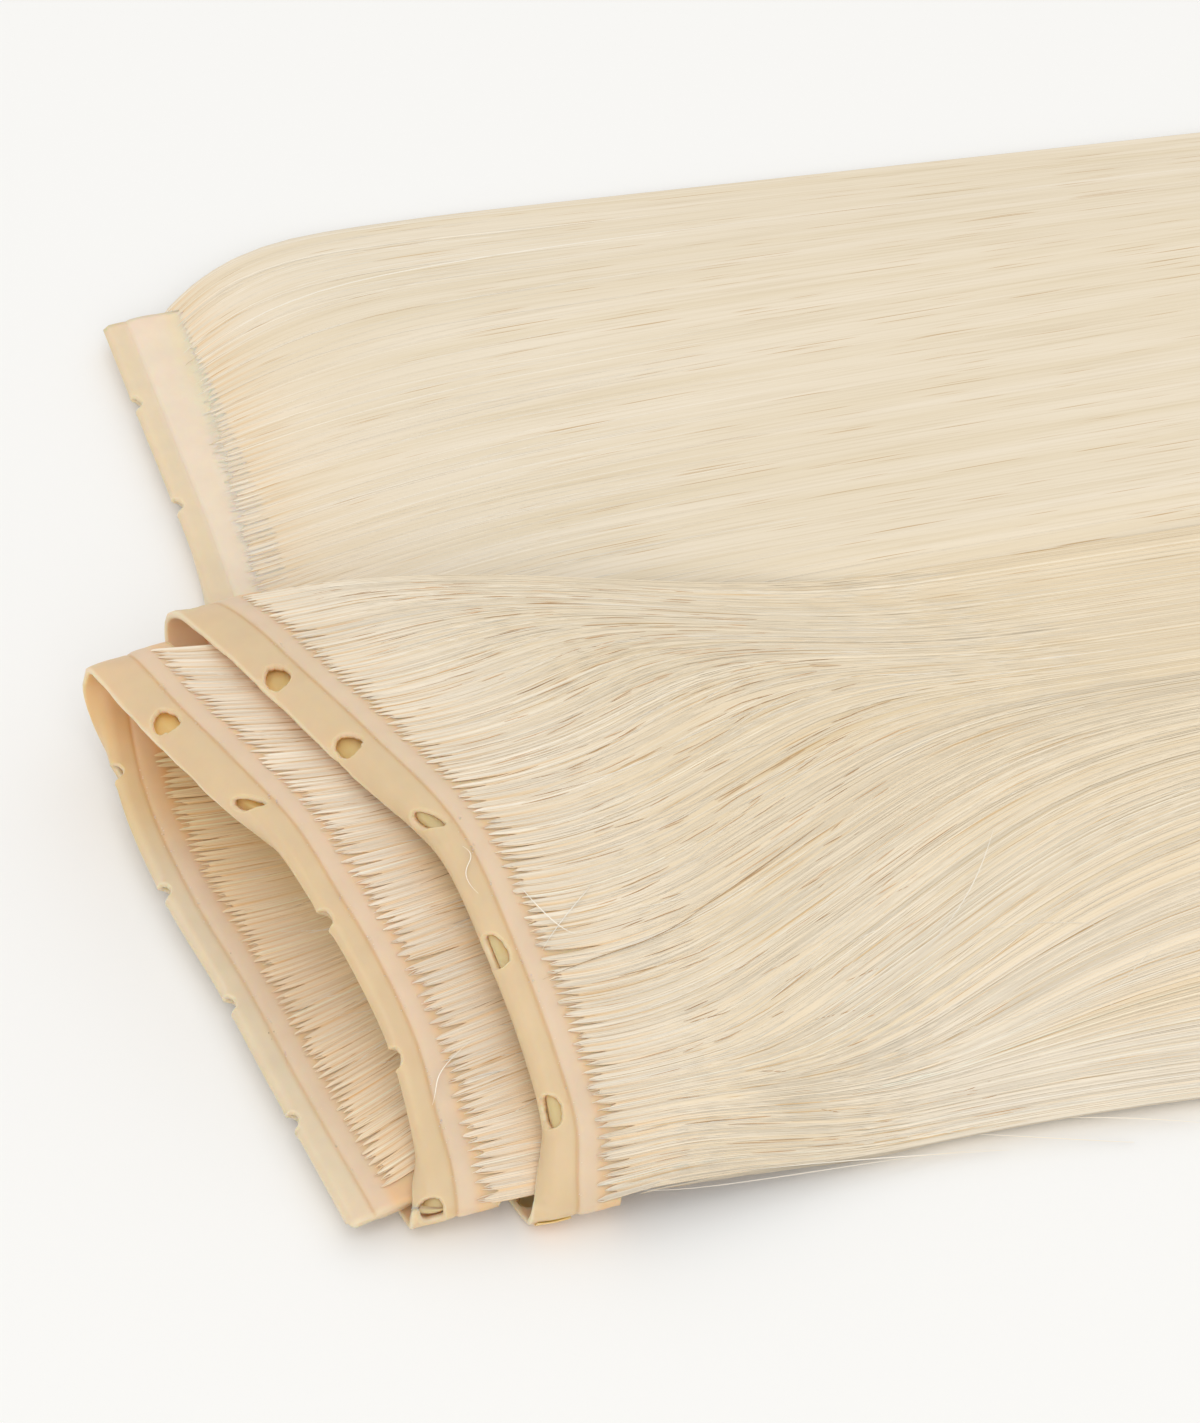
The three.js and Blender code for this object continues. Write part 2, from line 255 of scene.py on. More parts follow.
# Inner and outer roots of the fifth run, and the third run: last heading, its change and reach
FAR_Y = (24, 47)
FAR_POWER = 1.5
FAR_INNER = (3, 17, 16)
FAR_OUTER = (-1, 53, 15.5)
HIDDEN_COMB = (0, 12, 20)

# Pile of hair on the table
PILE_TOP = 8.6
FAR_LAYER = 2.4
PILE_NEAR = (-51.0, -20.0)
PILE_NEAR_LEAST = 0.09
PILE_FAR = (-14.0, 7.0)
FAR_EDGE = (42.0, 60.0)
FAR_EDGE_LEAST = 0.3
PILE_THIN = (110.0, 345.0)
PILE_END = 0.4
GATHER = (90.0, 330.0)
GATHER_SHARE = 0.24
GATHER_MIDDLE = 2.0

# Hair bundles: spacing along the seam, where the hair starts on the strip, and how the teeth are cut
BUNDLE_PITCH = 0.54
BUNDLE_ENDS = (0.25, 0.1)
BUNDLE_UNEVEN = 0.05
BUNDLE_END = 0.5
TIPS = (-0.25, 0.2)
SECOND_TIPS = (0.1, 0.6)
GAPS = (0.9, 2.5)
SECOND_GAPS = (0.3, 1.0)
LONG_GAP_SHARE = 0.12
LONG_GAP = 1.8
GAP_LIMIT = 0.8
GAP_POWER = 1.3
FAR_GAPS = 0.45
BARE_ROWS = (37.3, 39.6)
BARE_FILM = 2.6
BULK_LATE = 0.45
HAIR_START = 1.35
ROOT_DEPTH = 0.12
ROOT_LIFT = 0.07
FAR_ROOT_LIFT = -0.02
FAR_ROOT_REACH = (3.2, 5.4)
TABLE_GAP = 0.05
NEAR_WALL = (-47.0, -40.0)

# Photograph's view: direction, distance from the route's start, and focal length in pixels
PHOTO_SIZE = (1200, 1423)
VIEW_AZIMUTH = -10.0
VIEW_ELEVATION = 48.0
VIEW_DISTANCE = 386.4
FOCAL_PIXELS = 5000.0
SENSOR = 36.0
CLIP_START = 0.01

# Studio: light, and a floor in metres
WORLD_LIGHT = 0.70
FLOOR_HALF = 3.0
FLOOR_DROP = 0.0001
LAMP_DISTANCE = 1800.0
LAMP_SIZE = 2000.0
LAMPS = {
    # azimuth, elevation, energy
    "front_softbox": (-17.0, 53.0, 13.9),
    "back_softbox": (140.0, 58.0, 3.2),
}

ORIGIN = np.array(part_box("pu_band")[0]) / MM - np.array(BAND_LOW)
random = np.random.default_rng(SEED)


def place(points):
    """Route millimetres as row-frame metres."""
    return (np.asarray(points, float) + ORIGIN) * MM


def lerp(a, b, share):
    return a + (b - a) * share


def smoothstep(value, low, high):
    t = np.clip((value - low) / (high - low), 0, 1)
    return t * t * (3 - 2 * t)


def fade(value, low, high):
    """A share that falls smoothly from 1 to 0."""
    return 1 - smoothstep(value, low, high)


def srgb(red, green, blue):
    """Linear colour of an sRGB one given from 0 to 255."""
    c = np.array([red, green, blue], float) / 255
    return np.where(c <= 0.04045, c / 12.92, ((c + 0.055) / 1.055) ** 2.4)


# Route of the band

def end_padded(values):
    return np.concatenate([[2 * values[0] - values[1]], values, [2 * values[-1] - values[-2]]])


SEAM_ROWS = end_padded(BAND_ROWS[:, :3])
ANGLE_ROWS = end_padded(np.radians(BAND_ROWS[:, 3:]))


def row_and_share(at):
    row = np.clip(np.floor(at).astype(int), 0, LAST_ROW - 1)
    return row, (at - row)[:, None]


def seam_at(at):
    """Points and unit tangents of the centripetal spline through the route's rows."""
    row, w = row_and_share(at)
    p0, p1, p2, p3 = (SEAM_ROWS[row + k] for k in range(4))
    d0, d1, d2 = (np.linalg.norm(b - a, axis=1)[:, None] ** 0.5 for a, b in ((p0, p1), (p1, p2), (p2, p3)))
    t1 = ((p1 - p0) / d0 - (p2 - p0) / (d0 + d1) + (p2 - p1) / d1) * d1
    t2 = ((p2 - p1) / d1 - (p3 - p1) / (d1 + d2) + (p3 - p2) / d2) * d1
    square = -3 * p1 + 3 * p2 - 2 * t1 - t2
    cube = 2 * p1 - 2 * p2 + t1 + t2
    point = p1 + t1 * w + square * w**2 + cube * w**3
    tangent = t1 + 2 * square * w + 3 * cube * w**2
    return point, tangent / np.linalg.norm(tangent, axis=1)[:, None]


def angles_at(at):
    """Heading, pitch and curl between the rows, on a smooth curve."""
    row, w = row_and_share(at)
    v0, v1, v2, v3 = (ANGLE_ROWS[row + k] for k in range(4))
    m1, m2 = (v2 - v0) / 2, (v3 - v1) / 2
    square = -3 * v1 + 3 * v2 - 2 * m1 - m2
    cube = 2 * v1 - 2 * v2 + m1 + m2
    return (v1 + m1 * w + square * w**2 + cube * w**3).T


ROW_PARTS = 40
AT_TABLE = np.linspace(0, LAST_ROW, LAST_ROW * ROW_PARTS + 1)
ARC_STEPS = np.linalg.norm(np.diff(seam_at(AT_TABLE)[0], axis=0), axis=1)
ARC_TABLE = np.concatenate([[0], np.cumsum(ARC_STEPS)])
BAND_LENGTH = ARC_TABLE[-1]


def arc_of(at):
    return np.interp(at, AT_TABLE, ARC_TABLE)


def band_frame(arc):
    """Seam point, directions along and across, face direction and curl at distances along the seam."""
    at = np.interp(arc, ARC_TABLE, AT_TABLE)
    seam, along = seam_at(at)
    heading, pitch, curl = angles_at(at)
    flat = np.cos(pitch)
    across = np.stack([np.cos(heading) * flat, np.sin(heading) * flat, np.sin(pitch)], axis=1)
    across -= along * np.sum(across * along, axis=1)[:, None]
    across /= np.linalg.norm(across, axis=1)[:, None]
    return seam, along, across, np.cross(across, along), curl


def within_rows(arc, spans, soft):
    """Share from 0 to 1 by which places along the seam lie in spans of rows."""
    at = np.interp(arc, ARC_TABLE, AT_TABLE)
    share = np.zeros_like(at)
    for first, last in spans:
        inside = smoothstep(at, first - soft, first) * fade(at, last, last + soft)
        share = np.maximum(share, inside)
    return share


def tongue_share(arc):
    """Share of the tongue's width that shows: it is cut short in the folds and at the outer end."""
    at = np.interp(arc, ARC_TABLE, AT_TABLE)
    outer = 1 - OUTER_TRIM * smoothstep(at, *OUTER_ROWS)
    return outer * lerp(1, FOLD_TONGUE, within_rows(arc, FOLD_ROWS, FOLD_SOFT))


def band_points(arc, side, share):
    """Points of the band, at a distance to the side of the seam and a share of its half thickness."""
    seam, _, across, face, curl = band_frame(arc)
    side = np.maximum(side, -lerp(CUT_FLANGE, FLANGE_WIDTH + 1, smoothstep(arc, 0, CUT_LENGTH)))
    beyond = np.maximum(side - STRIP_WIDTH, 0)
    side = side - beyond * (1 - tongue_share(arc))
    distance = np.maximum(-side, 0)
    u = np.maximum(side, 0)
    v = np.zeros(len(arc))
    slope = np.zeros(len(arc))
    sharp = within_rows(arc, SHARP_ROWS, SHARP_SOFT)
    crease = [lerp(soft, hard, sharp) for soft, hard in zip(CREASE, SHARP_CREASE)]
    for part in range(FLANGE_PARTS):
        slope = curl * smoothstep((part + 0.5) / FLANGE_PARTS * distance, *crease)
        u = u - distance / FLANGE_PARTS * np.cos(slope)
        v = v - distance / FLANGE_PARTS * np.sin(slope)
    half = np.interp(side, SECTION[:, 0], SECTION[:, 1]) / 2 * share
    u = u - np.sin(slope) * half
    v = v + np.cos(slope) * half
    return seam + across * u[:, None] + face * v[:, None]


# Meshes and materials

CLOUD_TONES = [(0.3, 0.97), (0.7, 1.02)]
BUMP_HEIGHT = 0.05
# Distances from the roots between which streaks by roots give way to streaks by the fan
STREAK_BLEND = (6.0, 24.0)
# Streaks of the hair across and along, by roots and by the fan, and their detail
STREAKS = {
    "fine": ((7.0, 0.10), (5.0, 0.05), 3.0),
    "broad": ((0.9, 0.03), (0.6, 0.015), 3.0),
    "dash": ((9.0, 0.16), (7.0, 0.09), 1.0),
}
STREAK_TONES = {
    "fine": [(0.3, srgb(243, 240, 234)), (0.5, srgb(252, 251, 249)), (0.7, 1.0)],
    "broad": [(0.3, srgb(247, 244, 236)), (0.65, 1.0)],
    "dash": [(0.27, srgb(224, 205, 180)), (0.34, 1.0)],
}


def new_mesh(name, points, triangles, material, tint=None, root_flow=None, far_flow=None):
    """A smooth mesh object that rides on the part, with its colours and flow coordinates."""
    mesh = bpy.data.meshes.new(name)
    mesh.vertices.add(len(points))
    mesh.vertices.foreach_set("co", place(points).astype(np.float32).ravel())
    count = len(triangles)
    mesh.loops.add(count * 3)
    mesh.loops.foreach_set("vertex_index", np.asarray(triangles, np.int32).ravel())
    mesh.polygons.add(count)
    mesh.polygons.foreach_set("loop_start", np.arange(0, count * 3, 3, dtype=np.int32))
    mesh.update(calc_edges=True)
    mesh.validate()
    mesh.shade_smooth()
    if tint is not None:
        colours = np.concatenate([tint, np.ones((len(points), 1))], axis=1)
        attribute = mesh.color_attributes.new("tint", "FLOAT_COLOR", "POINT")
        attribute.data.foreach_set("color", colours.astype(np.float32).ravel())
    for key, flow in (("root_flow", root_flow), ("far_flow", far_flow)):
        if flow is not None:
            attribute = mesh.attributes.new(key, "FLOAT_VECTOR", "POINT")
            attribute.data.foreach_set("vector", np.asarray(flow, np.float32).ravel())
    mesh.materials.append(material)
    piece = bpy.data.objects.new(name, mesh)
    bpy.context.scene.collection.objects.link(piece)
    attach(piece, "root")
    return piece


def new_material(name, roughness, specular):
    material = bpy.data.materials.new(name)
    material.use_nodes = True
    shader = material.node_tree.nodes["Principled BSDF"]
    shader.inputs["Roughness"].default_value = roughness
    shader.inputs["Specular IOR Level"].default_value = specular
    return material, material.node_tree, shader


def add_node(tree, kind, **values):
    node = tree.nodes.new(kind)
    for key, value in values.items():
        if hasattr(node, key):
            setattr(node, key, value)
        else:
            node.inputs[key.replace("_", " ").title()].default_value = value
    return node


def attribute_node(tree, name):
    return add_node(tree, "ShaderNodeAttribute", attribute_name=name)


def multiply_colour(tree, first, second):
    mix = add_node(tree, "ShaderNodeMix", data_type="RGBA", blend_type="MULTIPLY")
    mix.inputs[0].default_value = 1.0
    tree.links.new(first, mix.inputs[6])
    tree.links.new(second, mix.inputs[7])
    return mix.outputs[2]


def ramp_node(tree, value, stops):
    """Colour ramp through stops of a place and a linear colour or a grey."""
    ramp = tree.nodes.new("ShaderNodeValToRGB")
    elements = ramp.color_ramp.elements
    while len(elements) < len(stops):
        elements.new(0.5)
    for element, (position, colour) in zip(elements, stops):
        element.position = position
        element.color = (*np.broadcast_to(colour, 3), 1)
    tree.links.new(value, ramp.inputs[0])
    return ramp.outputs[0]


def grid_rim(index):
    """Numbers round the edge of a grid of points, in order."""
    return np.concatenate([index[:, 0], index[-1, 1:], index[-2::-1, -1], index[0, -2:0:-1]])


def closed_sheet(top, bottom):
    """Points and triangles of a closed sheet between two grids."""
    rows, columns = top.shape[:2]
    size = rows * columns
    index = np.arange(size).reshape(rows, columns)
    a, b = index[:-1, :-1].ravel(), index[1:, :-1].ravel()
    c, d = index[1:, 1:].ravel(), index[:-1, 1:].ravel()
    upper = np.concatenate([np.stack([a, c, b], axis=1), np.stack([a, d, c], axis=1)])
    rim = grid_rim(index)
    after = np.roll(rim, -1)
    wall = np.stack([rim, after, after + size], axis=1)
    other = np.stack([rim, after + size, rim + size], axis=1)
    points = np.concatenate([top.reshape(-1, 3), bottom.reshape(-1, 3)])
    return points, np.concatenate([upper, upper[:, ::-1] + size, wall, other])


def joined(meshes):
    """Points and triangles of several meshes as one."""
    starts = np.cumsum([0] + [len(points) for points, _ in meshes[:-1]])
    points = np.concatenate([points for points, _ in meshes])
    return points, np.concatenate([triangles + start for (_, triangles), start in zip(meshes, starts)])


def solid_noise(tree, scale, detail):
    """Noise through the solid, by the part's own coordinates."""
    spot = add_node(tree, "ShaderNodeTexCoord")
    noise = add_node(tree, "ShaderNodeTexNoise", scale=scale, detail=detail)
    tree.links.new(spot.outputs["Object"], noise.inputs["Vector"])
    return noise.outputs[0]


def cloud_tint(tree, shader, scale, detail):
    """Give the surface its own tint, made slightly cloudy."""
    tone = ramp_node(tree, solid_noise(tree, scale, detail), CLOUD_TONES)
    tint = attribute_node(tree, "tint")
    tree.links.new(multiply_colour(tree, tint.outputs["Color"], tone), shader.inputs["Base Color"])


def add_bump(tree, shader, height, strength):
    bump = add_node(tree, "ShaderNodeBump", strength=strength, distance=BUMP_HEIGHT * MM)
    tree.links.new(height, bump.inputs["Height"])
    tree.links.new(bump.outputs[0], shader.inputs["Normal"])


def band_material():
    material, tree, shader = new_material("cast_polyurethane", roughness=0.42, specular=0.45)
    shader.inputs["Subsurface Weight"].default_value = 0.7
    shader.inputs["Subsurface Radius"].default_value = (1.0, 0.6, 0.3)
    shader.inputs["Subsurface Scale"].default_value = 1.2 * MM
    cloud_tint(tree, shader, scale=420.0, detail=3.0)
    add_bump(tree, shader, solid_noise(tree, scale=2600.0, detail=2.0), strength=0.12)
    return material


def strand_material():
    material, tree, shader = new_material("blonde_strands", roughness=0.5, specular=0.12)
    cloud_tint(tree, shader, scale=160.0, detail=2.0)
    return material


def streak_noise(tree, attribute, across, along, detail):
    """Noise drawn out along the flow of the hair."""
    scale = add_node(tree, "ShaderNodeVectorMath", operation="MULTIPLY")
    scale.inputs[1].default_value = (across, along, 1.0)
    tree.links.new(attribute.outputs["Vector"], scale.inputs[0])
    noise = add_node(tree, "ShaderNodeTexNoise", scale=1.0, detail=detail)
    tree.links.new(scale.outputs[0], noise.inputs["Vector"])
    return noise.outputs[0]


def blend_values(tree, share, first, second):
    mix = add_node(tree, "ShaderNodeMix", data_type="FLOAT")
    tree.links.new(share, mix.inputs[0])
    tree.links.new(first, mix.inputs[2])
    tree.links.new(second, mix.inputs[3])
    return mix.outputs[0]


def bulk_material():
    """Hair beneath the single strands: fine streaks along the flow, by roots and then by the fan."""
    material, tree, shader = new_material("blonde_hair_mass", roughness=0.55, specular=0.1)
    root, far = attribute_node(tree, "root_flow"), attribute_node(tree, "far_flow")
    parts = add_node(tree, "ShaderNodeSeparateXYZ")
    tree.links.new(root.outputs["Vector"], parts.inputs[0])
    away = add_node(tree, "ShaderNodeMapRange", interpolation_type="SMOOTHSTEP")
    away.inputs["From Min"].default_value = STREAK_BLEND[0]
    away.inputs["From Max"].default_value = STREAK_BLEND[1]
    tree.links.new(parts.outputs[1], away.inputs["Value"])
    colour = attribute_node(tree, "tint").outputs["Color"]
    streaks = {}
    for kind, (by_root, by_fan, detail) in STREAKS.items():
        near = streak_noise(tree, root, *by_root, detail)
        streaks[kind] = blend_values(tree, away.outputs[0], near, streak_noise(tree, far, *by_fan, detail))
        colour = multiply_colour(tree, colour, ramp_node(tree, streaks[kind], STREAK_TONES[kind]))
    tree.links.new(colour, shader.inputs["Base Color"])
    add_bump(tree, shader, streaks["fine"], strength=0.35)
    return material


# Polyurethane band

FLANGE_TINT = srgb(223, 197, 158)
STRIP_TINT = srgb(227, 203, 174)
# Painted shade: a darker, more orange line along the seam groove between flange and strip
GROOVE_SHADE_TINT = srgb(219, 186, 141)
# Tongue film: its own colour deepened to orange, partly painted warm shade of the gaps between the teeth
TONGUE_AND_GAP_SHADE_TINT = srgb(236, 197, 152)
# Painted warm shade inside the first fold, on one face of the band
FOLD_SHADE_WARM = np.array([1.0, 0.91, 0.72])
FAR_FILM = srgb(244, 224, 201)
# Painted warm shade on the far film where the roots cover it
FAR_UNDER_SHADE_WARM = srgb(250, 224, 193)
FAR_FLANGE = srgb(236, 214, 183)
# Painted light: the first run's flange paler where it faces the light
INNER_FLANGE_LIT = srgb(229, 212, 184)
# Painted highlight: a lighter tint on the cut free edge and on the walls of the holes
RIM_HIGHLIGHT_TINT = srgb(233, 212, 180)
# Tint by the distance across from the seam, with the painted highlight, groove shade and gap shade named
# above
BAND_TINTS = [
    (-3.1, RIM_HIGHLIGHT_TINT), (-2.95, FLANGE_TINT), (-0.25, FLANGE_TINT), (-0.08, GROOVE_SHADE_TINT), (0.05, GROOVE_SHADE_TINT),
    (0.2, STRIP_TINT), (1.1, STRIP_TINT), (1.8, TONGUE_AND_GAP_SHADE_TINT), (7.0, TONGUE_AND_GAP_SHADE_TINT),
]
# Rows with a tint of their own, how softly they begin and end, and its share; the inner rows carry painted
# light, the fold rows painted warm shade
FAR_ROWS = ((37.2, 42.0),)
FAR_SOFT = 1.5
FAR_SHARE = 0.85
INNER_LIT_ROWS = ((-2.0, 4.6),)
INNER_LIT_SOFT = 1.0
INNER_LIT_SHARE = 0.8
FOLD_SHADE_ROWS = ((4.2, 8.0),)
FOLD_SHADE_SOFT = 1.2
# Distances across where the film begins, and where it goes under the roots and takes painted warm shade
FILM_START = (-0.4, 0.3)
UNDER_SHADE_START = (2.6, 4.2)

# Sheets close behind the flange in strong orange: painted warm glow of light through the band, seen through
# the holes
GLOW_LININGS = [
    # first row, last row, width, depths of its faces in half thicknesses, tint
    (7.4, 10.2, 2.85, 2.1, 2.5, srgb(255, 194, 131)),
    (14.2, 16.3, 2.7, 1.35, 1.7, srgb(244, 196, 140)),
    (23.6, 27.2, 2.85, 2.1, 2.5, srgb(255, 194, 131)),
    (32.5, 35.2, 2.7, -1.35, -1.7, srgb(244, 196, 140)),
]
LINING_GRID = (60, 10)
LINING_INSET = 0.28
# Closer glow sheets behind single holes, painted warm glow too: places along the seam, half length, and
# width, depths and tint as above
GLOW_PATCHES = (206.4, 218.5, 230.8)
GLOW_PATCH_HALF = 1.95
GLOW_PATCH = (2.9, 1.06, 1.4, srgb(255, 200, 142))


def hole_list():
    """Place along the seam, inset and radius of each hole: at a sharp crease they sit further out."""
    centres = np.concatenate([first + pitch * np.arange(count) for first, pitch, count in HOLE_ROWS])
    sharp = within_rows(centres, SHARP_ROWS, SHARP_SOFT)
    inset = lerp(HOLE_INSET, SHARP_HOLE_INSET, sharp)
    return list(zip(centres, inset, lerp(HOLE_RADIUS, SHARP_HOLE_RADIUS, sharp)))


def hole_outline(centre, inset, size):
    """Ragged outline of one punched hole, as distances along and across."""
    angle = np.linspace(0, 2 * np.pi, HOLE_POINTS, endpoint=False)
    phase = random.uniform(0, 2 * np.pi, 2)
    radius = 1 + HOLE_LOBES * np.sin(2 * angle + phase[0]) + HOLE_LOBES * np.sin(3 * angle + phase[1])
    radius = radius + random.normal(0, HOLE_RAG, HOLE_POINTS)
    shape = HOLE_SHAPES.get(round(float(centre), 1), (size, size, 0.0, 0.0, 0.0))
    length, width, lean, ahead, inward = shape
    along = length * radius * np.cos(angle)
    across = width * radius * (lean * np.cos(angle) + math.sqrt(1 - lean ** 2) * np.sin(angle))
    return np.stack([centre + ahead + along, inward - inset + across], axis=1)


def inside_outline(points, outline):
    """Whether points lie inside a closed outline, by counting crossings."""
    inside = np.zeros(len(points), bool)
    for a, b in zip(outline, np.roll(outline, -1, axis=0)):
        crosses = (a[1] > points[:, 1]) != (b[1] > points[:, 1])
        reach = a[0] + (points[:, 1] - a[1]) / (b[1] - a[1] + TINY) * (b[0] - a[0])
        inside ^= crosses & (points[:, 0] < reach)
    return inside


def band_plan():
    """Flat triangles of the band with its holes, as distances along and across."""
    arcs = np.linspace(0, BAND_LENGTH, int(BAND_LENGTH / ALONG_STEP))
    grid = np.stack(np.meshgrid(arcs, SECTION[:, 0], indexing="ij"), axis=2)
    wave = EDGE_WAVE * np.sin(arcs * EDGE_WAVES[0]) * np.sin(arcs * EDGE_WAVES[1] + 1)
    grid[:, 0, 1] += wave + random.normal(0, EDGE_RAG, len(arcs))
    rows, columns = grid.shape[:2]
    index = np.arange(rows * columns).reshape(rows, columns)
    rim = grid_rim(index)
    points = grid.reshape(-1, 2)
    keep = np.ones(len(points), bool)
    outlines = [hole_outline(*hole) for hole in hole_list()]
    rings = []
    for outline in outlines:
        middle = outline.mean(axis=0)
        wide = middle + (outline - middle) * HOLE_CLEAR
        lip = middle + (outline - middle) * (1 + RIM_WIDTH)
        close = np.abs(points[:, 0] - middle[0]) < HOLE_NEAR
        keep[np.flatnonzero(close)[inside_outline(points[close], wide)]] = False
        rings += [outline, lip]
    keep[rim] = True
    renumber = np.cumsum(keep) - 1
    edges = np.stack([renumber[rim], renumber[np.roll(rim, -1)]], axis=1).tolist()
    start = int(keep.sum())
    for ring in rings:
        number = start + np.arange(len(ring))
        edges += np.stack([number, np.roll(number, -1)], axis=1).tolist()
        start += len(ring)
    plan = np.concatenate([points[keep], *rings])
    spots = [Vector(spot) for spot in plan]
    verts, _, faces, *_ = geometry.delaunay_2d_cdt(spots, edges, [], CDT_INSIDE, CDT_NEAR)
    plan = np.array([tuple(vertex) for vertex in verts])
    faces = np.array(faces)
    centre = plan[faces].mean(axis=1)
    solid = np.ones(len(faces), bool)
    for outline in outlines:
        close = np.flatnonzero(np.abs(centre[:, 0] - outline[:, 0].mean()) < HOLE_NEAR)
        solid[close[inside_outline(centre[close], outline)]] = False
    return plan, faces[solid]


def band_tint(plan):
    """Colours of the band by the distance across, with a painted highlight at the free edge and painted
    light and shade in some rows.
    """
    side = plan[:, 1]
    stops, tints = zip(*BAND_TINTS)
    tint = np.stack([np.interp(side, stops, [t[k] for t in tints]) for k in range(3)], axis=1)
    far = within_rows(plan[:, 0], FAR_ROWS, FAR_SOFT)[:, None]
    inner = within_rows(plan[:, 0], INNER_LIT_ROWS, INNER_LIT_SOFT)[:, None]
    film = smoothstep(side, *FILM_START)[:, None]
    # Painted warm shade on the far film under the roots
    under = smoothstep(side, *UNDER_SHADE_START)[:, None]
    # Painted light on the first run's flange
    tint = lerp(tint, INNER_FLANGE_LIT, inner * (1 - film) * INNER_LIT_SHARE)
    return lerp(tint, lerp(FAR_FLANGE, lerp(FAR_FILM, FAR_UNDER_SHADE_WARM, under), film), far * FAR_SHARE)


def border_of(faces):
    """Edges with a triangle on one side only, in that triangle's direction."""
    directed = np.concatenate([faces[:, [0, 1]], faces[:, [1, 2]], faces[:, [2, 0]]])
    keys = set(map(tuple, directed.tolist()))
    return np.array([edge for edge in directed.tolist() if (edge[1], edge[0]) not in keys])


def outward_at(plan, border):
    """Points of the border, and the unit direction out of the sheet at each."""
    outward = np.zeros((len(plan), 2))
    step = plan[border[:, 1]] - plan[border[:, 0]]
    normal = np.stack([step[:, 1], -step[:, 0]], axis=1)
    normal /= np.linalg.norm(normal, axis=1)[:, None]
    np.add.at(outward, border[:, 0], normal)
    np.add.at(outward, border[:, 1], normal)
    rim = np.unique(border)
    return rim, outward[rim] / np.linalg.norm(outward[rim], axis=1)[:, None]


def build_band():
    plan, faces = band_plan()
    a, b, c = plan[faces[:, 0]], plan[faces[:, 1]], plan[faces[:, 2]]
    turn = (b[:, 0] - a[:, 0]) * (c[:, 1] - a[:, 1]) - (b[:, 1] - a[:, 1]) * (c[:, 0] - a[:, 0])
    faces[turn < 0] = faces[turn < 0][:, ::-1]
    used, faces = np.unique(faces, return_inverse=True)
    plan = plan[used]
    faces = faces.reshape(-1, 3)
    count = len(plan)
    border = border_of(faces)
    rim, outward = outward_at(plan, border)
    middle = plan[rim] + outward * EDGE_BULGE
    middle_of = np.zeros(count, int)
    middle_of[rim] = 2 * count + np.arange(len(rim))
    points = np.concatenate([
        band_points(plan[:, 0], plan[:, 1], np.ones(count)),
        band_points(plan[:, 0], plan[:, 1], -np.ones(count)),
        band_points(middle[:, 0], np.maximum(middle[:, 1], -FLANGE_WIDTH - EDGE_REACH), np.zeros(len(rim))),
    ])
    i, j = border.T
    walls = [(i, j, middle_of[j]), (i, middle_of[j], middle_of[i])]
    walls += [(middle_of[i], middle_of[j], j + count), (middle_of[i], j + count, i + count)]
    triangles = np.concatenate([faces[:, ::-1], faces + count, *[np.stack(w, axis=1) for w in walls]])
    tint = band_tint(plan)
    # Painted highlight on the cut walls of the free edge and the holes
    rim_highlight = np.broadcast_to(RIM_HIGHLIGHT_TINT, (len(rim), 3))
    # Painted warm shade inside the first fold, on the first face only
    inside = tint * lerp(1, FOLD_SHADE_WARM, within_rows(plan[:, 0], FOLD_SHADE_ROWS, FOLD_SHADE_SOFT)[:, None])
    piece = new_mesh("band", points, triangles, band_material(), np.concatenate([inside, tint, rim_highlight]))
    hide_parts("pu_band")


def build_glow_lining():
    """Sheets close behind the flange in strong orange: painted warm glow that shows through the upper
    holes.
    """
    sheets, tints = [], []
    spans = [(*arc_of(np.array(lining[:2])), *lining[2:]) for lining in GLOW_LININGS]
    spans += [(centre - GLOW_PATCH_HALF, centre + GLOW_PATCH_HALF, *GLOW_PATCH) for centre in GLOW_PATCHES]
    for first, last, width, near, far, tint in spans:
        arc = np.linspace(first, last, LINING_GRID[0])
        side = np.linspace(-LINING_INSET, -width, LINING_GRID[1])
        arcs, sides = (grid.ravel() for grid in np.meshgrid(arc, side, indexing="ij"))
        faces = [band_points(arcs, sides, np.full(arcs.size, depth)) for depth in (near, far)]
        sheets.append(closed_sheet(*[face.reshape(*LINING_GRID, 3) for face in faces]))
        tints.append(np.broadcast_to(tint, sheets[-1][0].shape))
    points, triangles = joined(sheets)
    piece = new_mesh("band_glow_lining", points, triangles, band_material(), np.concatenate(tints))


# Flow of the hair

def pile_height(x, y):
    """Height of the settled hair over the table."""
    near = lerp(PILE_NEAR_LEAST, 1, smoothstep(y, *PILE_NEAR))
    edge = lerp(1, FAR_EDGE_LEAST, smoothstep(y, *FAR_EDGE))
    heap = lerp(PILE_TOP, FAR_LAYER, smoothstep(y, *PILE_FAR))
    return heap * near * edge * lerp(1, PILE_END, smoothstep(x, *PILE_THIN))


def comb_top(x, y, distance, root):
    reach = COMB_REACH - COMB_BEND * (y - COMB_MIDDLE) ** 2
    inside = fade(x, reach - COMB_FADE, reach + COMB_FADE)
    rise = lerp(COMB_START, 1, smoothstep(distance, 0, COMB_RISE))
    near = fade(y, *NEAR_EDGE_Y)
    edge = NEAR_EDGE_HEADING - NEAR_EDGE_FALL * smoothstep(x, *NEAR_EDGE_FALL_X)
    edge = edge + (COMB_BASE + NEAR_EDGE_FALL - NEAR_EDGE_HEADING) * smoothstep(x, *NEAR_EDGE_BACK_X)
    return lerp(COMB_BASE + COMB_PEAK * rise * inside, edge, near)


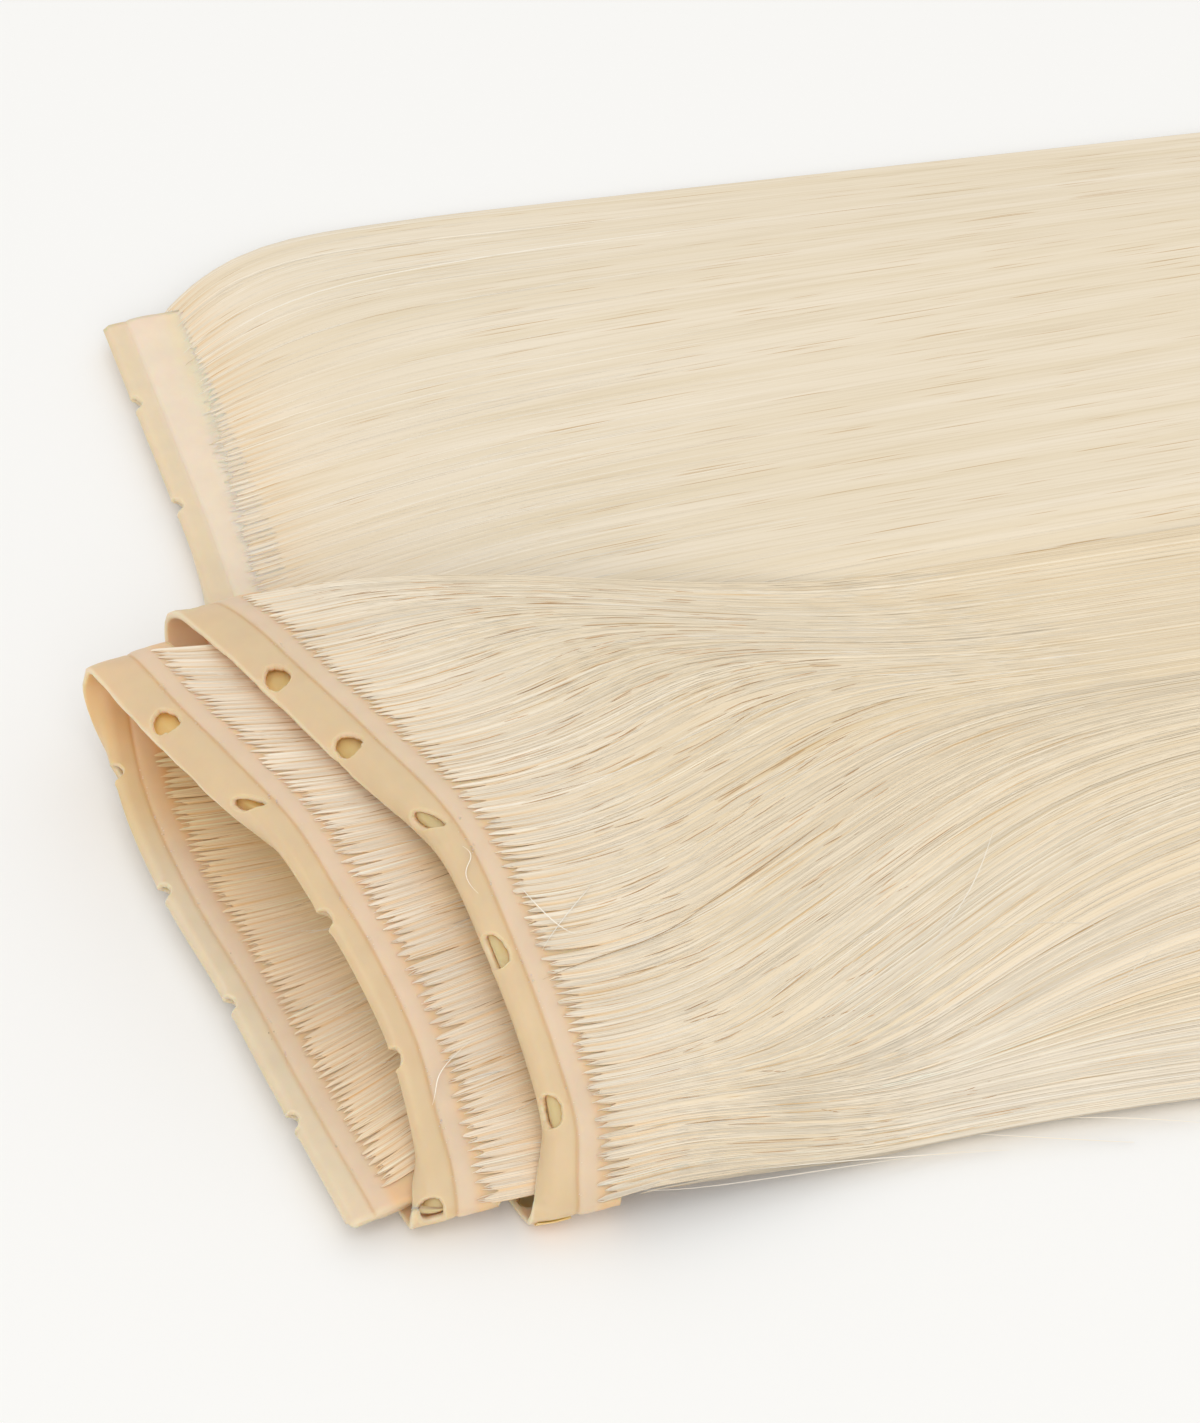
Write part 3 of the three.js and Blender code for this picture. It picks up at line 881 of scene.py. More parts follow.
def comb_second(x, y, distance, root):
    start = lerp(*SECOND_HEADINGS, smoothstep(root[:, 1], *SECOND_Y))
    start = lerp(SECOND_NEAR, start, smoothstep(root[:, 1], *NEAR_ROOTS))
    return lerp(start, comb_top(x, y, distance, root) * SECOND_SHARE, smoothstep(distance, *SECOND_TURN))


def comb_first(x, y, distance, root):
    start = lerp(*FIRST_HEADINGS, smoothstep(root[:, 1], *FIRST_Y))
    return lerp(start, FIRST_END, smoothstep(distance, *FIRST_TURN))


def turned(distance, last, change, reach, power=1):
    """Heading that comes to its last value over a reach."""
    return last + change * np.exp(-((distance / reach) ** power))


def comb_far(x, y, distance, root):
    edge = smoothstep(root[:, 1], *FAR_Y) ** FAR_POWER
    return lerp(turned(distance, *FAR_INNER), turned(distance, *FAR_OUTER, power=2), edge)


def comb_hidden(x, y, distance, root):
    return turned(distance, *HIDDEN_COMB)


COMBS = {
    "hair_turn_1": comb_first,
    "hair_turn_2": comb_second,
    "hair_turn_3": comb_hidden,
    "hair_turn_4": comb_top,
    "hair_turn_5": comb_far,
}


def root_plane(start, along, across, x, y):
    """Height of the band's own plane, at places near a root."""
    dx, dy = x - start[:, 0], y - start[:, 1]
    cross = along[:, 0] * across[:, 1] - along[:, 1] * across[:, 0]
    cross = np.where(np.abs(cross) < PLANE_LEAST, np.sign(cross) * PLANE_LEAST, cross)
    a = (dx * across[:, 1] - dy * across[:, 0]) / cross
    b = (along[:, 0] * dy - along[:, 1] * dx) / cross
    lean = np.clip(a * along[:, 2], -PLANE_LEAN, PLANE_LEAN)
    return start[:, 2] + lean + b * across[:, 2]


class Flow:
    """Paths of one run's hair, from its roots along the seam to the tips."""

    def __init__(self, name):
        self.name = name
        self.run = HAIR_RUNS[name]
        self.tint = srgb(*self.run["tint"])
        first, last = arc_of(np.array(self.run["rows"]))
        dense = last - np.linspace(0, DENSE_ROOTS, DENSE_COUNT) ** 2 / DENSE_ROOTS
        self.arcs = np.unique(np.concatenate([np.linspace(first, last, FLOW_ROOTS), dense]))
        self.follow()
        if name == "hair_turn_4":
            self.even_top()
        self.spread = self.table[:, SPREAD_STATION, 1]
        self.part_bundles(first, last)

    def follow(self):
        """Trace the paths from the roots, in short steps along the comb."""
        count = len(self.arcs)
        _, along, across, _, _ = band_frame(self.arcs)
        start = band_points(self.arcs, np.full(count, HAIR_START), np.full(count, self.run["side"]))
        x, y, base = start.T.copy()
        self.table = np.zeros((count, len(STATIONS), 4))
        distance = 0.0
        for station, goal in enumerate(STATIONS):
            steps = max(1, math.ceil((goal - distance) / FLOW_STEP))
            step = (goal - distance) / steps
            for _ in range(steps):
                heading = np.radians(COMBS[self.name](x, y, distance, start))
                x = x + step * np.cos(heading)
                y = y + step * np.sin(heading)
                distance += step
                if distance < TONGUE_WIDTH + 1:
                    thick, thinner = np.interp([HAIR_START, HAIR_START + distance], *SECTION.T)
                    base = root_plane(start, along, across, x, y) - (thick - thinner) / 2
            self.table[:, station] = self.settle(start, x, y, base, distance)

    def settle(self, start, x, y, base, distance):
        """x, y, low and high of the paths at one distance: on the band first, then in the pile."""
        run = self.run
        y = y + (GATHER_MIDDLE - y) * GATHER_SHARE * smoothstep(x, *GATHER)
        lift = run["lift"] * lerp(NEAR_LIFT, 1, smoothstep(start[:, 1], *NEAR_ROOTS))
        settled = smoothstep(distance, TONGUE_WIDTH - SETTLE_EARLY, lift)
        height = pile_height(x, y)
        low, high = height * run["low"], height * run["high"]
        first_roots = fade(self.arcs - self.arcs[0], 0, SINK_ROOTS)
        over = run.get("over", 0) - run.get("sink", 0) * first_roots
        rise = ROOT_LIFT
        if self.name == "hair_turn_4":
            low = lerp(TABLE_GAP - over, low, smoothstep(y, *NEAR_WALL))
        if self.name == "hair_turn_5":
            beside = y - EDGE_SLOPE * (x - EDGE_START[0]) - EDGE_START[1]
            high = lerp(high, height, smoothstep(beside, *EDGE_SOFT))
            rise = lerp(FAR_ROOT_LIFT, ROOT_LIFT, smoothstep(distance, *FAR_ROOT_REACH))
        low = lerp(base - ROOT_DEPTH, low + over, settled)
        return np.stack([x, y, low, lerp(base + rise, high + over, settled)], axis=1)

    def part_bundles(self, first, last):
        """Places of the bundles along the seam, their uneven starts and the depth of the gaps between."""
        bundles = np.arange(first + BUNDLE_ENDS[0], last - BUNDLE_ENDS[1], BUNDLE_PITCH)
        self.bundles = bundles + random.normal(0, BUNDLE_UNEVEN, len(bundles))
        ends = len(bundles) + 2
        second = np.arange(ends) % 2 == 0
        self.tips = random.uniform(*TIPS, ends) + np.where(second, random.uniform(*SECOND_TIPS, ends), 0)
        gaps = np.where(second, random.uniform(*SECOND_GAPS, ends), random.uniform(*GAPS, ends))
        gaps = np.where(random.uniform(0, 1, ends) < LONG_GAP_SHARE, gaps * LONG_GAP, gaps)
        places = np.concatenate([[first], self.bundles, [last]])
        self.gaps = np.minimum(gaps, TONGUE_WIDTH * tongue_share(places) * GAP_LIMIT)
        if self.name == "hair_turn_5":
            self.gaps *= FAR_GAPS
            self.tips += BARE_FILM * smoothstep(np.interp(places, ARC_TABLE, AT_TABLE), *BARE_ROWS)

    def even_top(self):
        """Level the top where paths from different roots come together."""
        roots = np.linspace(self.arcs[0], self.arcs[-1], EVEN_ROOTS)
        arc, distance = np.meshgrid(roots, np.arange(*EVEN_REACH), indexing="ij")
        values = self.at(arc, distance)
        cell = ((values[..., :2] - EVEN_LOW) / EVEN_CELL).round().astype(int)
        cell = np.clip(cell, 0, np.array(EVEN_SIZE) - 1)
        height, weight = np.zeros(EVEN_SIZE), np.zeros(EVEN_SIZE)
        np.add.at(height, (cell[..., 0], cell[..., 1]), values[..., 3])
        np.add.at(weight, (cell[..., 0], cell[..., 1]), 1.0)
        reach = np.arange(-EVEN_BLUR_CELLS, EVEN_BLUR_CELLS + 1)
        kernel = np.exp(-((reach * EVEN_CELL / EVEN_BLUR) ** 2))
        for axis in (0, 1):
            height = np.apply_along_axis(np.convolve, axis, height, kernel, "same")
            weight = np.apply_along_axis(np.convolve, axis, weight, kernel, "same")
        field = height / np.maximum(weight, LEAST_WEIGHT)
        place_in = (self.table[..., :2] - EVEN_LOW) / EVEN_CELL
        place_in = np.clip(place_in, 0, np.array(EVEN_SIZE) - GRID_END)
        i, j = place_in.astype(int)[..., 0], place_in.astype(int)[..., 1]
        a, b = place_in[..., 0] - i, place_in[..., 1] - j
        near = lerp(field[i, j], field[i + 1, j], a)
        evened = lerp(near, lerp(field[i, j + 1], field[i + 1, j + 1], a), b)
        share = smoothstep(STATIONS, *EVEN_START) * fade(STATIONS, *EVEN_END)
        share = share * smoothstep(self.arcs - self.arcs[0], *EVEN_FIRST)[:, None]
        share = share * smoothstep(self.table[..., 1], *EVEN_NEAR)
        self.table[..., 3] = lerp(self.table[..., 3], evened, share)

    def at(self, arc, distance):
        """x, y, low and high between the roots and the stations."""
        row = np.clip(np.interp(arc, self.arcs, np.arange(len(self.arcs))), 0, len(self.arcs) - GRID_END)
        column = np.interp(distance, STATIONS, np.arange(len(STATIONS)))
        column = np.clip(column, 0, len(STATIONS) - GRID_END)
        i, j = row.astype(int), column.astype(int)
        a, b = (row - i)[..., None], (column - j)[..., None]
        near = lerp(self.table[i, j], self.table[i, j + 1], b)
        return lerp(near, lerp(self.table[i + 1, j], self.table[i + 1, j + 1], b), a)

    def tooth(self, arc):
        """Share of the way into the gap beside a bundle, by place along the seam, and the hair's start."""
        ends = np.concatenate([[self.arcs[0] - BUNDLE_END], self.bundles, [self.arcs[-1] + BUNDLE_END]])
        after = np.clip(np.searchsorted(ends, arc), 1, len(ends) - 1)
        share = (arc - ends[after - 1]) / (ends[after] - ends[after - 1])
        gap = 1 - np.abs(2 * np.clip(share, 0, 1) - 1)
        tip = lerp(self.tips[after - 1], self.tips[after], share)
        return gap, tip + self.gaps[after] * gap**GAP_POWER


# Colours of the hair

ROOT_PALE = np.array([1.02, 1.04, 1.10])
FAR_ROOT_WARM = np.array([1.04, 1.015, 0.99])
ROOT_FADE = (3, 20)
LOOSE_TINT = srgb(244, 230, 205)
IN_SIGHT = ("hair_turn_4", "hair_turn_5")
SHADE_WARM = {
    "hair_turn_1": np.array([1.12, 0.99, 0.82]),
    "hair_turn_2": np.array([1.16, 0.89, 0.60]),
}
SHADE_START = (3, 8)
SHADE_END = (26.0, 45.0)
# Painted warm glow: the first run's hair brighter and warmer deep in its hollow under the fold
DEEP_GLOW_ROWS = (1.5, 5.0)
DEEP_GLOW_WARM = np.array([1.16, 1.00, 0.80])
# Painted light: the top run paler on its near side
NEAR_SIDE_LIGHT = np.array([1.05, 1.08, 1.16])
NEAR_LIGHT_Y = (-44, -18)
NEAR_LIGHT_START = (10, 30)
# Painted warm shade in the split between two locks of the fan
SPLIT_SHADE_WARM = np.array([0.98, 0.93, 0.84])
# Where the split lies across the fan and its half width, and the distances between which its painted shade
# shows
SPLIT = (-37.5, 1.5)
SPLIT_START = (26, 42)
SPLIT_END = (90, 140)


def tint_grid(flow, arc, y, distance):
    """Colours along a run's hair: pale roots, painted warm shade and glow in hollows and splits, painted
    light on the near side.
    """
    loose = flow.tint if flow.name in IN_SIGHT else LOOSE_TINT
    tint = lerp(flow.tint, loose, smoothstep(distance, *SHADE_END)[..., None])
    roots = FAR_ROOT_WARM if flow.name == "hair_turn_5" else ROOT_PALE
    tint = tint * lerp(1, roots, fade(distance, *ROOT_FADE)[..., None])
    if flow.name in SHADE_WARM:
        shade = smoothstep(distance, *SHADE_START) * fade(distance, *SHADE_END)
        tint = tint * lerp(1, SHADE_WARM[flow.name], shade[..., None])
    if flow.name == "hair_turn_1":
        # Painted warm glow deep in the first run's hollow
        row = np.interp(arc, ARC_TABLE, AT_TABLE)
        deep_glow = smoothstep(row, *DEEP_GLOW_ROWS) * fade(distance, *SHADE_END)
        tint = tint * lerp(1, DEEP_GLOW_WARM, deep_glow[..., None])
    if flow.name == "hair_turn_4":
        # Painted light on the near side of the top run
        near = fade(y, *NEAR_LIGHT_Y) * smoothstep(distance, *NEAR_LIGHT_START)
        tint = tint * lerp(1, NEAR_SIDE_LIGHT, near[..., None])
        # Painted warm shade along the split between two locks of the fan
        aside = (np.interp(arc, flow.arcs, flow.spread) - SPLIT[0]) / SPLIT[1]
        split_shade = np.exp(-(aside**2)) * smoothstep(distance, *SPLIT_START)
        split_shade = split_shade * fade(distance, *SPLIT_END)
        tint = tint * lerp(1, SPLIT_SHADE_WARM, split_shade[..., None])
    return np.minimum(tint, 1)


# Hair masses

# Painted warm shade on the sides of the teeth and in the gaps between them, from the gap's start over its
# reach
GAP_SHADE_WARM = np.array([0.98, 0.84, 0.68])
GAP_START = 0.5
GAP_REACH = 7.0
# Painted shade: the mass beneath the strands slightly darker and warmer than the strands on top
DEEP_SHARE = np.array([0.985, 0.97, 0.95])
LOCK_SPAN = 6.0
TIP_WAVES = (6.1, 2.3)
TIP_UNEVEN = 0.07
CROWN = 0.05
CROWN_START = (-0.3, 1.2)
CROWN_END = (1, 8)
TOOTH_COLUMNS = np.array([0, 0.3, 0.5, 0.7])
FAN_STEP = 0.8
COLUMN_LEAST = 0.004
# Thickness of the sheet: the least, at its ends, and at its sides, over a share of its width
LEAST_THICK = 0.06
END_THICK = 0.04
SIDE_THIN = 0.1
SIDE_SHARE = 0.03


def sorted_pair(keys, values):
    order = np.argsort(keys)
    return keys[order], values[order]


def tip_scatter(place_across):
    """Uneven lengths of the locks, from 0 to 1, by the place across the fan in locks."""
    return 0.5 + 0.5 * np.sin(place_across * TIP_WAVES[0]) * np.cos(place_across * TIP_WAVES[1] + 1)


def crown_height(aside, distance):
    """How far a bundle stands up near its root, by the share of the way into the gap beside it."""
    height = CROWN * (1 - aside**2) * fade(distance, *CROWN_END)
    return height * smoothstep(distance, *CROWN_START)


def build_bulk(flow, material):
    """Closed sheet of one run's hair, whose root end is cut into the teeth of the bundles."""
    steps = np.diff(np.append(flow.bundles, flow.arcs[-1]))
    columns = (flow.bundles[:, None] + steps[:, None] * TOOTH_COLUMNS).ravel()
    fan = np.arange(flow.spread.min(), flow.spread.max(), FAN_STEP)
    fan = np.interp(fan, *sorted_pair(flow.spread, flow.arcs))
    arc = np.unique(np.concatenate([[flow.arcs[0]], columns, fan, [flow.arcs[-1]]]))
    arc = arc[np.append(True, np.diff(arc) > COLUMN_LEAST)]
    gap, start = flow.tooth(arc)
    start = start + BULK_LATE
    share = (arc - arc[0]) / (arc[-1] - arc[0])
    fanned = np.interp(arc, flow.arcs, flow.spread)
    reach = HAIR_LENGTH * (1 - TIP_UNEVEN * tip_scatter(fanned / LOCK_SPAN)) - start
    distance = start[:, None] + reach[:, None] * (STATIONS / HAIR_LENGTH)[None, :]
    arc_grid = np.broadcast_to(arc[:, None], distance.shape)
    values = flow.at(arc_grid, distance)
    high = values[..., 3] + crown_height(gap[:, None], distance)
    edge = np.minimum(1, np.minimum(share, 1 - share) / SIDE_SHARE)[:, None]
    thick = np.maximum(high - values[..., 2], LEAST_THICK) * lerp(SIDE_THIN, 1, edge)
    thick[:, [0, -1]] = END_THICK
    top = np.concatenate([values[..., :2], high[..., None]], axis=2)
    bottom = top - np.stack([np.zeros_like(thick), np.zeros_like(thick), thick], axis=2)
    bottom[..., 2] = np.maximum(bottom[..., 2], 0)
    points, triangles = closed_sheet(top, bottom)
    spread = np.broadcast_to(fanned[:, None], distance.shape)
    root_flow = np.stack([arc_grid, distance, np.zeros(distance.shape)], axis=2).reshape(-1, 3)
    far_flow = np.stack([spread, distance, np.ones(distance.shape)], axis=2).reshape(-1, 3)
    tint = tint_grid(flow, arc_grid, values[..., 1], distance) * DEEP_SHARE
    # Painted warm shade in the gaps between the teeth
    warm = gap[:, None] ** 2 * fade(distance - start[:, None], 0, GAP_REACH)
    tint = (tint * lerp(1, GAP_SHADE_WARM, warm[..., None])).reshape(-1, 3)
    doubled = [np.concatenate([side, side]) for side in (tint, root_flow, far_flow)]
    piece = new_mesh(flow.name + "_mass", points, triangles, material, *doubled)
    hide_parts(flow.name)


# Hair strands and small loose things

STRAND_RADIUS = 0.048
STRAND_SIDES = 3
STRAND_WIDTHS = (0.75, 1.15)
ROOT_TAPER = 0.4
TIP_TAPER = 0.3
SOFT_NORMAL = 0.85
STRAND_CONTRAST = 0.035
PALE_STRAND = np.array([1.06, 1.09, 1.14])
PALE_SHARE = 0.12
# Warm dash on some strands: colour, share of strands, and its middle and half length along the strand
WARM_DASH = np.array([0.84, 0.69, 0.50])
DASH_SHARE = 0.25
DASH_MIDDLE = (0, 50)
DASH_HALF = (1, 4)
# Strands from the bundles: lengths, starts, how a bundle opens, and the distances of each change
STRAND_LENGTHS = (0.88, 1.0)
STRAND_STARTS = (0.1, 0.2)
PINCH = 0.3
PINCH_POWER = 0.75
DRIFT_REACH = (4, 45)
LIFT_REACH = (0.5, 6)
STRAND_SINK = 0.035
SINK_REACH = (25, 60)
OUTER_STRANDS = (0.45, 1.0)
# Strands spaced where the hair fans out: starts, lengths, and how they come up out of the mass
FAN_STARTS = (3, 20)
FAN_LENGTHS = (0.88, 0.99)
FAN_STATIONS = 300
FAN_SINK = -0.35
FAN_RISE = 9
FAN_LIFTS = (-0.06, 0.06)
LOOSE_TAPER = (0.08, 0.92)
PALE_HAIR = srgb(255, 246, 230)
BROWN_HAIR = srgb(198, 160, 116)
# Darkest and palest colour, and how far the flecks turn from the lie of the hair
# The glints are painted highlights: short pale lengths lying a little askew
FLECKS = {
    "dashes": (srgb(188, 146, 100), srgb(232, 190, 144), 0.15),
    "glints": (srgb(246, 234, 212), srgb(254, 244, 226), 0.7),
}
FLECK_RADIUS = 0.034
FLECK_LIFT = 0.03
FLECK_STATIONS = 6
FLECK_ENDS = (2, 1)
FLECK_ROWS = [
    # run, kind, count, distances from the roots, lengths
    ("hair_turn_4", "dashes", 330, (1.5, 32.0), (1.5, 4.5)),
    ("hair_turn_4", "glints", 200, (3.0, 45.0), (5.0, 14.0)),
    ("hair_turn_2", "dashes", 90, (1.5, 9.0), (1.0, 4.0)),
    ("hair_turn_2", "glints", 50, (0.5, 8.0), (3.0, 6.0)),
    ("hair_turn_1", "dashes", 90, (1.5, 14.0), (1.0, 4.0)),
    ("hair_turn_1", "glints", 60, (0.5, 12.0), (3.0, 7.0)),
]
# Tint of each stray hair, and the points that it passes
STRAYS = [
    (PALE_HAIR, [(-10.7, -28.4, 14.4), (-9.9, -29.8, 14.1), (-8.7, -31.4, 13.6), (-7.4, -32.0, 12.9)]),
    (PALE_HAIR, [(-5.6, -28.3, 13.6), (-6.8, -29.7, 13.7), (-8.4, -31.3, 13.4), (-10.0, -33.1, 12.9)]),
    (PALE_HAIR, [(17.2, -33.7, 6.6), (20.3, -31.2, 7.6), (22.3, -29.1, 8.7), (23.6, -27.5, 9.9),
                 (24.5, -26.0, 10.8)]),
    (BROWN_HAIR, [(-10.3, -35.1, 12.1), (-4.9, -33.4, 12.0), (-1.1, -32.2, 11.9), (3.6, -29.1, 11.6)]),
    (BROWN_HAIR, [(2.8, -29.8, 11.6), (7.8, -26.4, 11.2), (12.5, -23.1, 10.8)]),
    (PALE_HAIR, [(-15.6, -35.9, 7.4), (-17.9, -37.8, 7.1), (-18.6, -38.9, 6.7), (-19.1, -40.1, 6.0)]),
    # A real strand drawn pale all along: painted highlight of a shiny strand on the second run
    (PALE_HAIR, [(-16.4, -38.6, 6.4), (-14.8, -38.3, 6.4), (-13.2, -38.1, 6.2)]),
    (PALE_HAIR, [(-14.3, -24.5, 15.2), (-13.9, -25.7, 15.1), (-14.4, -26.7, 14.9), (-13.8, -28.4, 14.4)]),
    (PALE_HAIR, [(-5.7, -48.4, 3.9), (0.1, -48.2, 2.6), (6.8, -47.1, 1.6), (15.7, -46.8, 0.7),
                 (20.8, -46.8, 0.3)]),
    (PALE_HAIR, [(1.3, -47.6, 3.3), (8.3, -47.0, 2.0), (14.9, -46.8, 1.0), (21.5, -47.0, 0.4)]),
    (PALE_HAIR, [(16.6, -45.7, 1.9), (20.9, -46.2, 1.2), (28.0, -47.4, 0.5), (30.1, -47.7, 0.3)]),
    (PALE_HAIR, [(25.4, -45.6, 1.5), (30.5, -46.1, 0.9), (35.5, -46.9, 0.3)]),
]
STRAY_RADIUS = 0.042
STRAY_STATIONS = 16
# First and last row, face of the band and count
SPECK_RUNS = [(0.3, 5.0, 1, 60), (7.5, 16.0, -1, 80), (24.0, 31.5, -1, 70)]
SPECK_SIZE = (0.03, 0.08)
SPECK_SIDE = (0.12, 0.14)
SPECK_FLAT = (0.6, 1.0)
DARK_SPECKS = 0.15
SPECK_PALE = srgb(250, 238, 218)
SPECK_DARK = srgb(120, 98, 72)
OCTAHEDRON = np.array([(1, 0, 0), (0, 1, 0), (-1, 0, 0), (0, -1, 0), (0, 0, 1), (0, 0, -1)], float)
OCTAHEDRON_FACES = np.array([
    (0, 1, 4), (1, 2, 4), (2, 3, 4), (3, 0, 4), (1, 0, 5), (2, 1, 5), (3, 2, 5), (0, 3, 5),
])


def tube_mesh(paths, radii):
    """Joined thin tubes: points, triangles and soft normals. Paths are strands by stations."""
    count, stations = paths.shape[:2]
    tangent = np.gradient(paths, axis=1)
    tangent /= np.linalg.norm(tangent, axis=2)[..., None] + TINY
    flat = np.stack([-tangent[..., 1], tangent[..., 0], np.zeros((count, stations))], axis=2)
    flat /= np.linalg.norm(flat, axis=2)[..., None] + TINY
    up = np.cross(tangent, flat)
    turn = random.uniform(0, 2 * np.pi, (count, 1))
    rings, normals = [], []
    for k in range(STRAND_SIDES):
        angle = turn + 2 * np.pi * k / STRAND_SIDES
        across = np.cos(angle)[..., None] * flat + np.sin(angle)[..., None] * up
        rings.append(paths + across * radii[..., None])
        normals.append(lerp(across, up, SOFT_NORMAL))
    points = np.stack(rings, axis=2).reshape(-1, 3)
    normals = np.stack(normals, axis=2).reshape(-1, 3)
    index = np.arange(count * stations * STRAND_SIDES).reshape(count, stations, STRAND_SIDES)
    here, there = index[:, :-1], index[:, 1:]
    triangles = []
    for k in range(STRAND_SIDES):
        n = (k + 1) % STRAND_SIDES
        triangles.append(np.stack([here[..., k], here[..., n], there[..., n]], axis=-1).reshape(-1, 3))
        triangles.append(np.stack([here[..., k], there[..., n], there[..., k]], axis=-1).reshape(-1, 3))
    triangles.append(index[:, 0, ::-1])
    triangles.append(index[:, -1])
    return points, np.concatenate(triangles), normals / np.linalg.norm(normals, axis=1)[:, None]


def new_tubes(name, tubes, tint, material):
    """Object of joined tubes, with a tint for each station of each tube."""
    points, triangles, normals = tubes
    tint = np.repeat(tint.reshape(-1, 3), STRAND_SIDES, axis=0)
    piece = new_mesh(name, points, triangles, material, tint)
    piece.data.normals_split_custom_set_from_vertices(normals)


def strand_tints(base, distance):
    """One tone for each strand over the run's colours, a few paler, some with a warm dash."""
    count = len(distance)
    tint = base * (1 + STRAND_CONTRAST * random.normal(0, 1, (count, 1, 1)))
    pale = random.uniform(0, 1, (count, 1, 1)) < PALE_SHARE
    tint = np.where(pale, tint * PALE_STRAND, tint)
    middle = random.uniform(*DASH_MIDDLE, (count, 1))
    half = random.uniform(*DASH_HALF, (count, 1))
    warm = (random.uniform(0, 1, (count, 1)) < DASH_SHARE) & (np.abs(distance - middle) < half)
    return np.clip(np.where(warm[..., None], tint * WARM_DASH, tint), 0, 1)


def lifted(values, *lifts):
    """Paths on the top of a run's hair, raised by heights and kept over the table."""
    high = values[..., 3]
    for lift in lifts:
        high = high + lift
    return np.stack([values[..., 0], values[..., 1], np.maximum(high, STRAND_RADIUS)], axis=2)


def new_strands(flow, kind, arc, paths, distance, material, warm=0.0):
    """Joined strands of one run. Warm is how far each place takes the painted warm shade of the gaps."""
    radii = np.full(paths.shape[:2], STRAND_RADIUS) * random.uniform(*STRAND_WIDTHS, (len(paths), 1))
    radii[:, 0] *= ROOT_TAPER
    radii[:, -1] *= TIP_TAPER
    tubes = tube_mesh(paths, radii)
    tint = tint_grid(flow, arc, paths[..., 1], distance)
    tint = tint * lerp(1, GAP_SHADE_WARM, np.broadcast_to(warm, distance.shape)[..., None])
    new_tubes(flow.name + kind, tubes, strand_tints(tint, distance), material)


def build_strands(flow, material, per_bundle, reach=HAIR_LENGTH, wander=0.6, lifts=(-0.04, 0.03)):
    """Strands of one run, drawn from the bundles along its seam."""
    bundles = len(flow.bundles)
    count = bundles * per_bundle
    which = np.repeat(np.arange(bundles), per_bundle)
    slot_share = (np.tile(np.arange(per_bundle), bundles) + random.uniform(0, 1, count)) / per_bundle - 0.5
    stations = STATIONS[STATIONS <= reach]
    tip = flow.tips[which + 1] + random.normal(*STRAND_STARTS, count)
    whole = HAIR_LENGTH * random.uniform(*STRAND_LENGTHS, count)
    length = np.where(reach < HAIR_LENGTH, stations[-1], whole) - tip
    distance = tip[:, None] + length[:, None] * (stations / stations[-1])[None, :]
    opening = np.where(slot_share > 0, flow.gaps[which + 2], flow.gaps[which + 1])
    opened = np.clip((distance - tip[:, None]) / opening[:, None], 0, 1) ** PINCH_POWER
    opened = lerp(PINCH, 1.0, opened)
    drift = random.normal(0, wander, (count, 1)) * smoothstep(distance, *DRIFT_REACH)
    arc = flow.bundles[which][:, None] + slot_share[:, None] * BUNDLE_PITCH * opened + drift
    arc = np.clip(arc, flow.arcs[0], flow.arcs[-1])
    values = flow.at(arc, distance)
    lift = random.uniform(*lifts, (count, 1)) * smoothstep(distance, *LIFT_REACH)
    lift = lift - STRAND_SINK * smoothstep(distance, *SINK_REACH)
    paths = lifted(values, crown_height(2 * slot_share[:, None], distance), lift)
    outer = smoothstep(np.abs(2 * slot_share), *OUTER_STRANDS)[:, None]
    # Painted warm shade on the outer strands of each bundle, near the gaps
    warm = outer * fade(distance - tip[:, None], GAP_START, GAP_REACH)
    new_strands(flow, "_strands", arc, paths, distance, material, warm)


def build_fan(flow, material, count, spread):
    """Strands of the near side, spaced evenly where the hair fans out."""
    goal = random.uniform(*spread, count)
    arc = np.interp(goal, *sorted_pair(flow.spread, flow.arcs))
    start = random.uniform(*FAN_STARTS, count)
    stations = STATIONS[STATIONS < FAN_STATIONS]
    length = HAIR_LENGTH * random.uniform(*FAN_LENGTHS, count) - start
    distance = start[:, None] + length[:, None] * (stations / stations[-1])[None, :]
    arc = np.broadcast_to(arc[:, None], distance.shape)
    values = flow.at(arc, distance)
    sunk = FAN_SINK * fade(distance - start[:, None], 0, FAN_RISE)
    paths = lifted(values, random.uniform(*FAN_LIFTS, (count, 1)), sunk)
    new_strands(flow, "_fan", arc, paths, distance, material)


def build_loose(name, paths, radius, tints, material):
    """Joined single hairs with thin ends."""
    taper = np.sin(np.pi * np.linspace(*LOOSE_TAPER, paths.shape[1]))[None, :]
    tubes = tube_mesh(paths, radius * np.broadcast_to(taper, paths.shape[:2]))
    new_tubes(name, tubes, np.broadcast_to(tints[:, None], paths.shape), material)


def build_flecks(flow, kind, count, reach, lengths, material):
    """Short lengths of darker hair, and pale painted glints, that come to the top of a run."""
    first, last, askew = FLECKS[kind]
    arc = random.uniform(flow.arcs[0] + FLECK_ENDS[0], flow.arcs[-1] - FLECK_ENDS[1], (count, 1))
    share = np.linspace(0, 1, FLECK_STATIONS)
    distance = random.uniform(*reach, (count, 1)) + random.uniform(*lengths, (count, 1)) * share
    arc = arc + random.normal(0, askew, (count, 1)) * (share - 0.5)
    values = flow.at(np.clip(arc, flow.arcs[0], flow.arcs[-1]), distance)
    tints = lerp(first, last, random.uniform(0, 1, (count, 1)))
    build_loose(flow.name + "_" + kind, lifted(values, FLECK_LIFT), FLECK_RADIUS, tints, material)


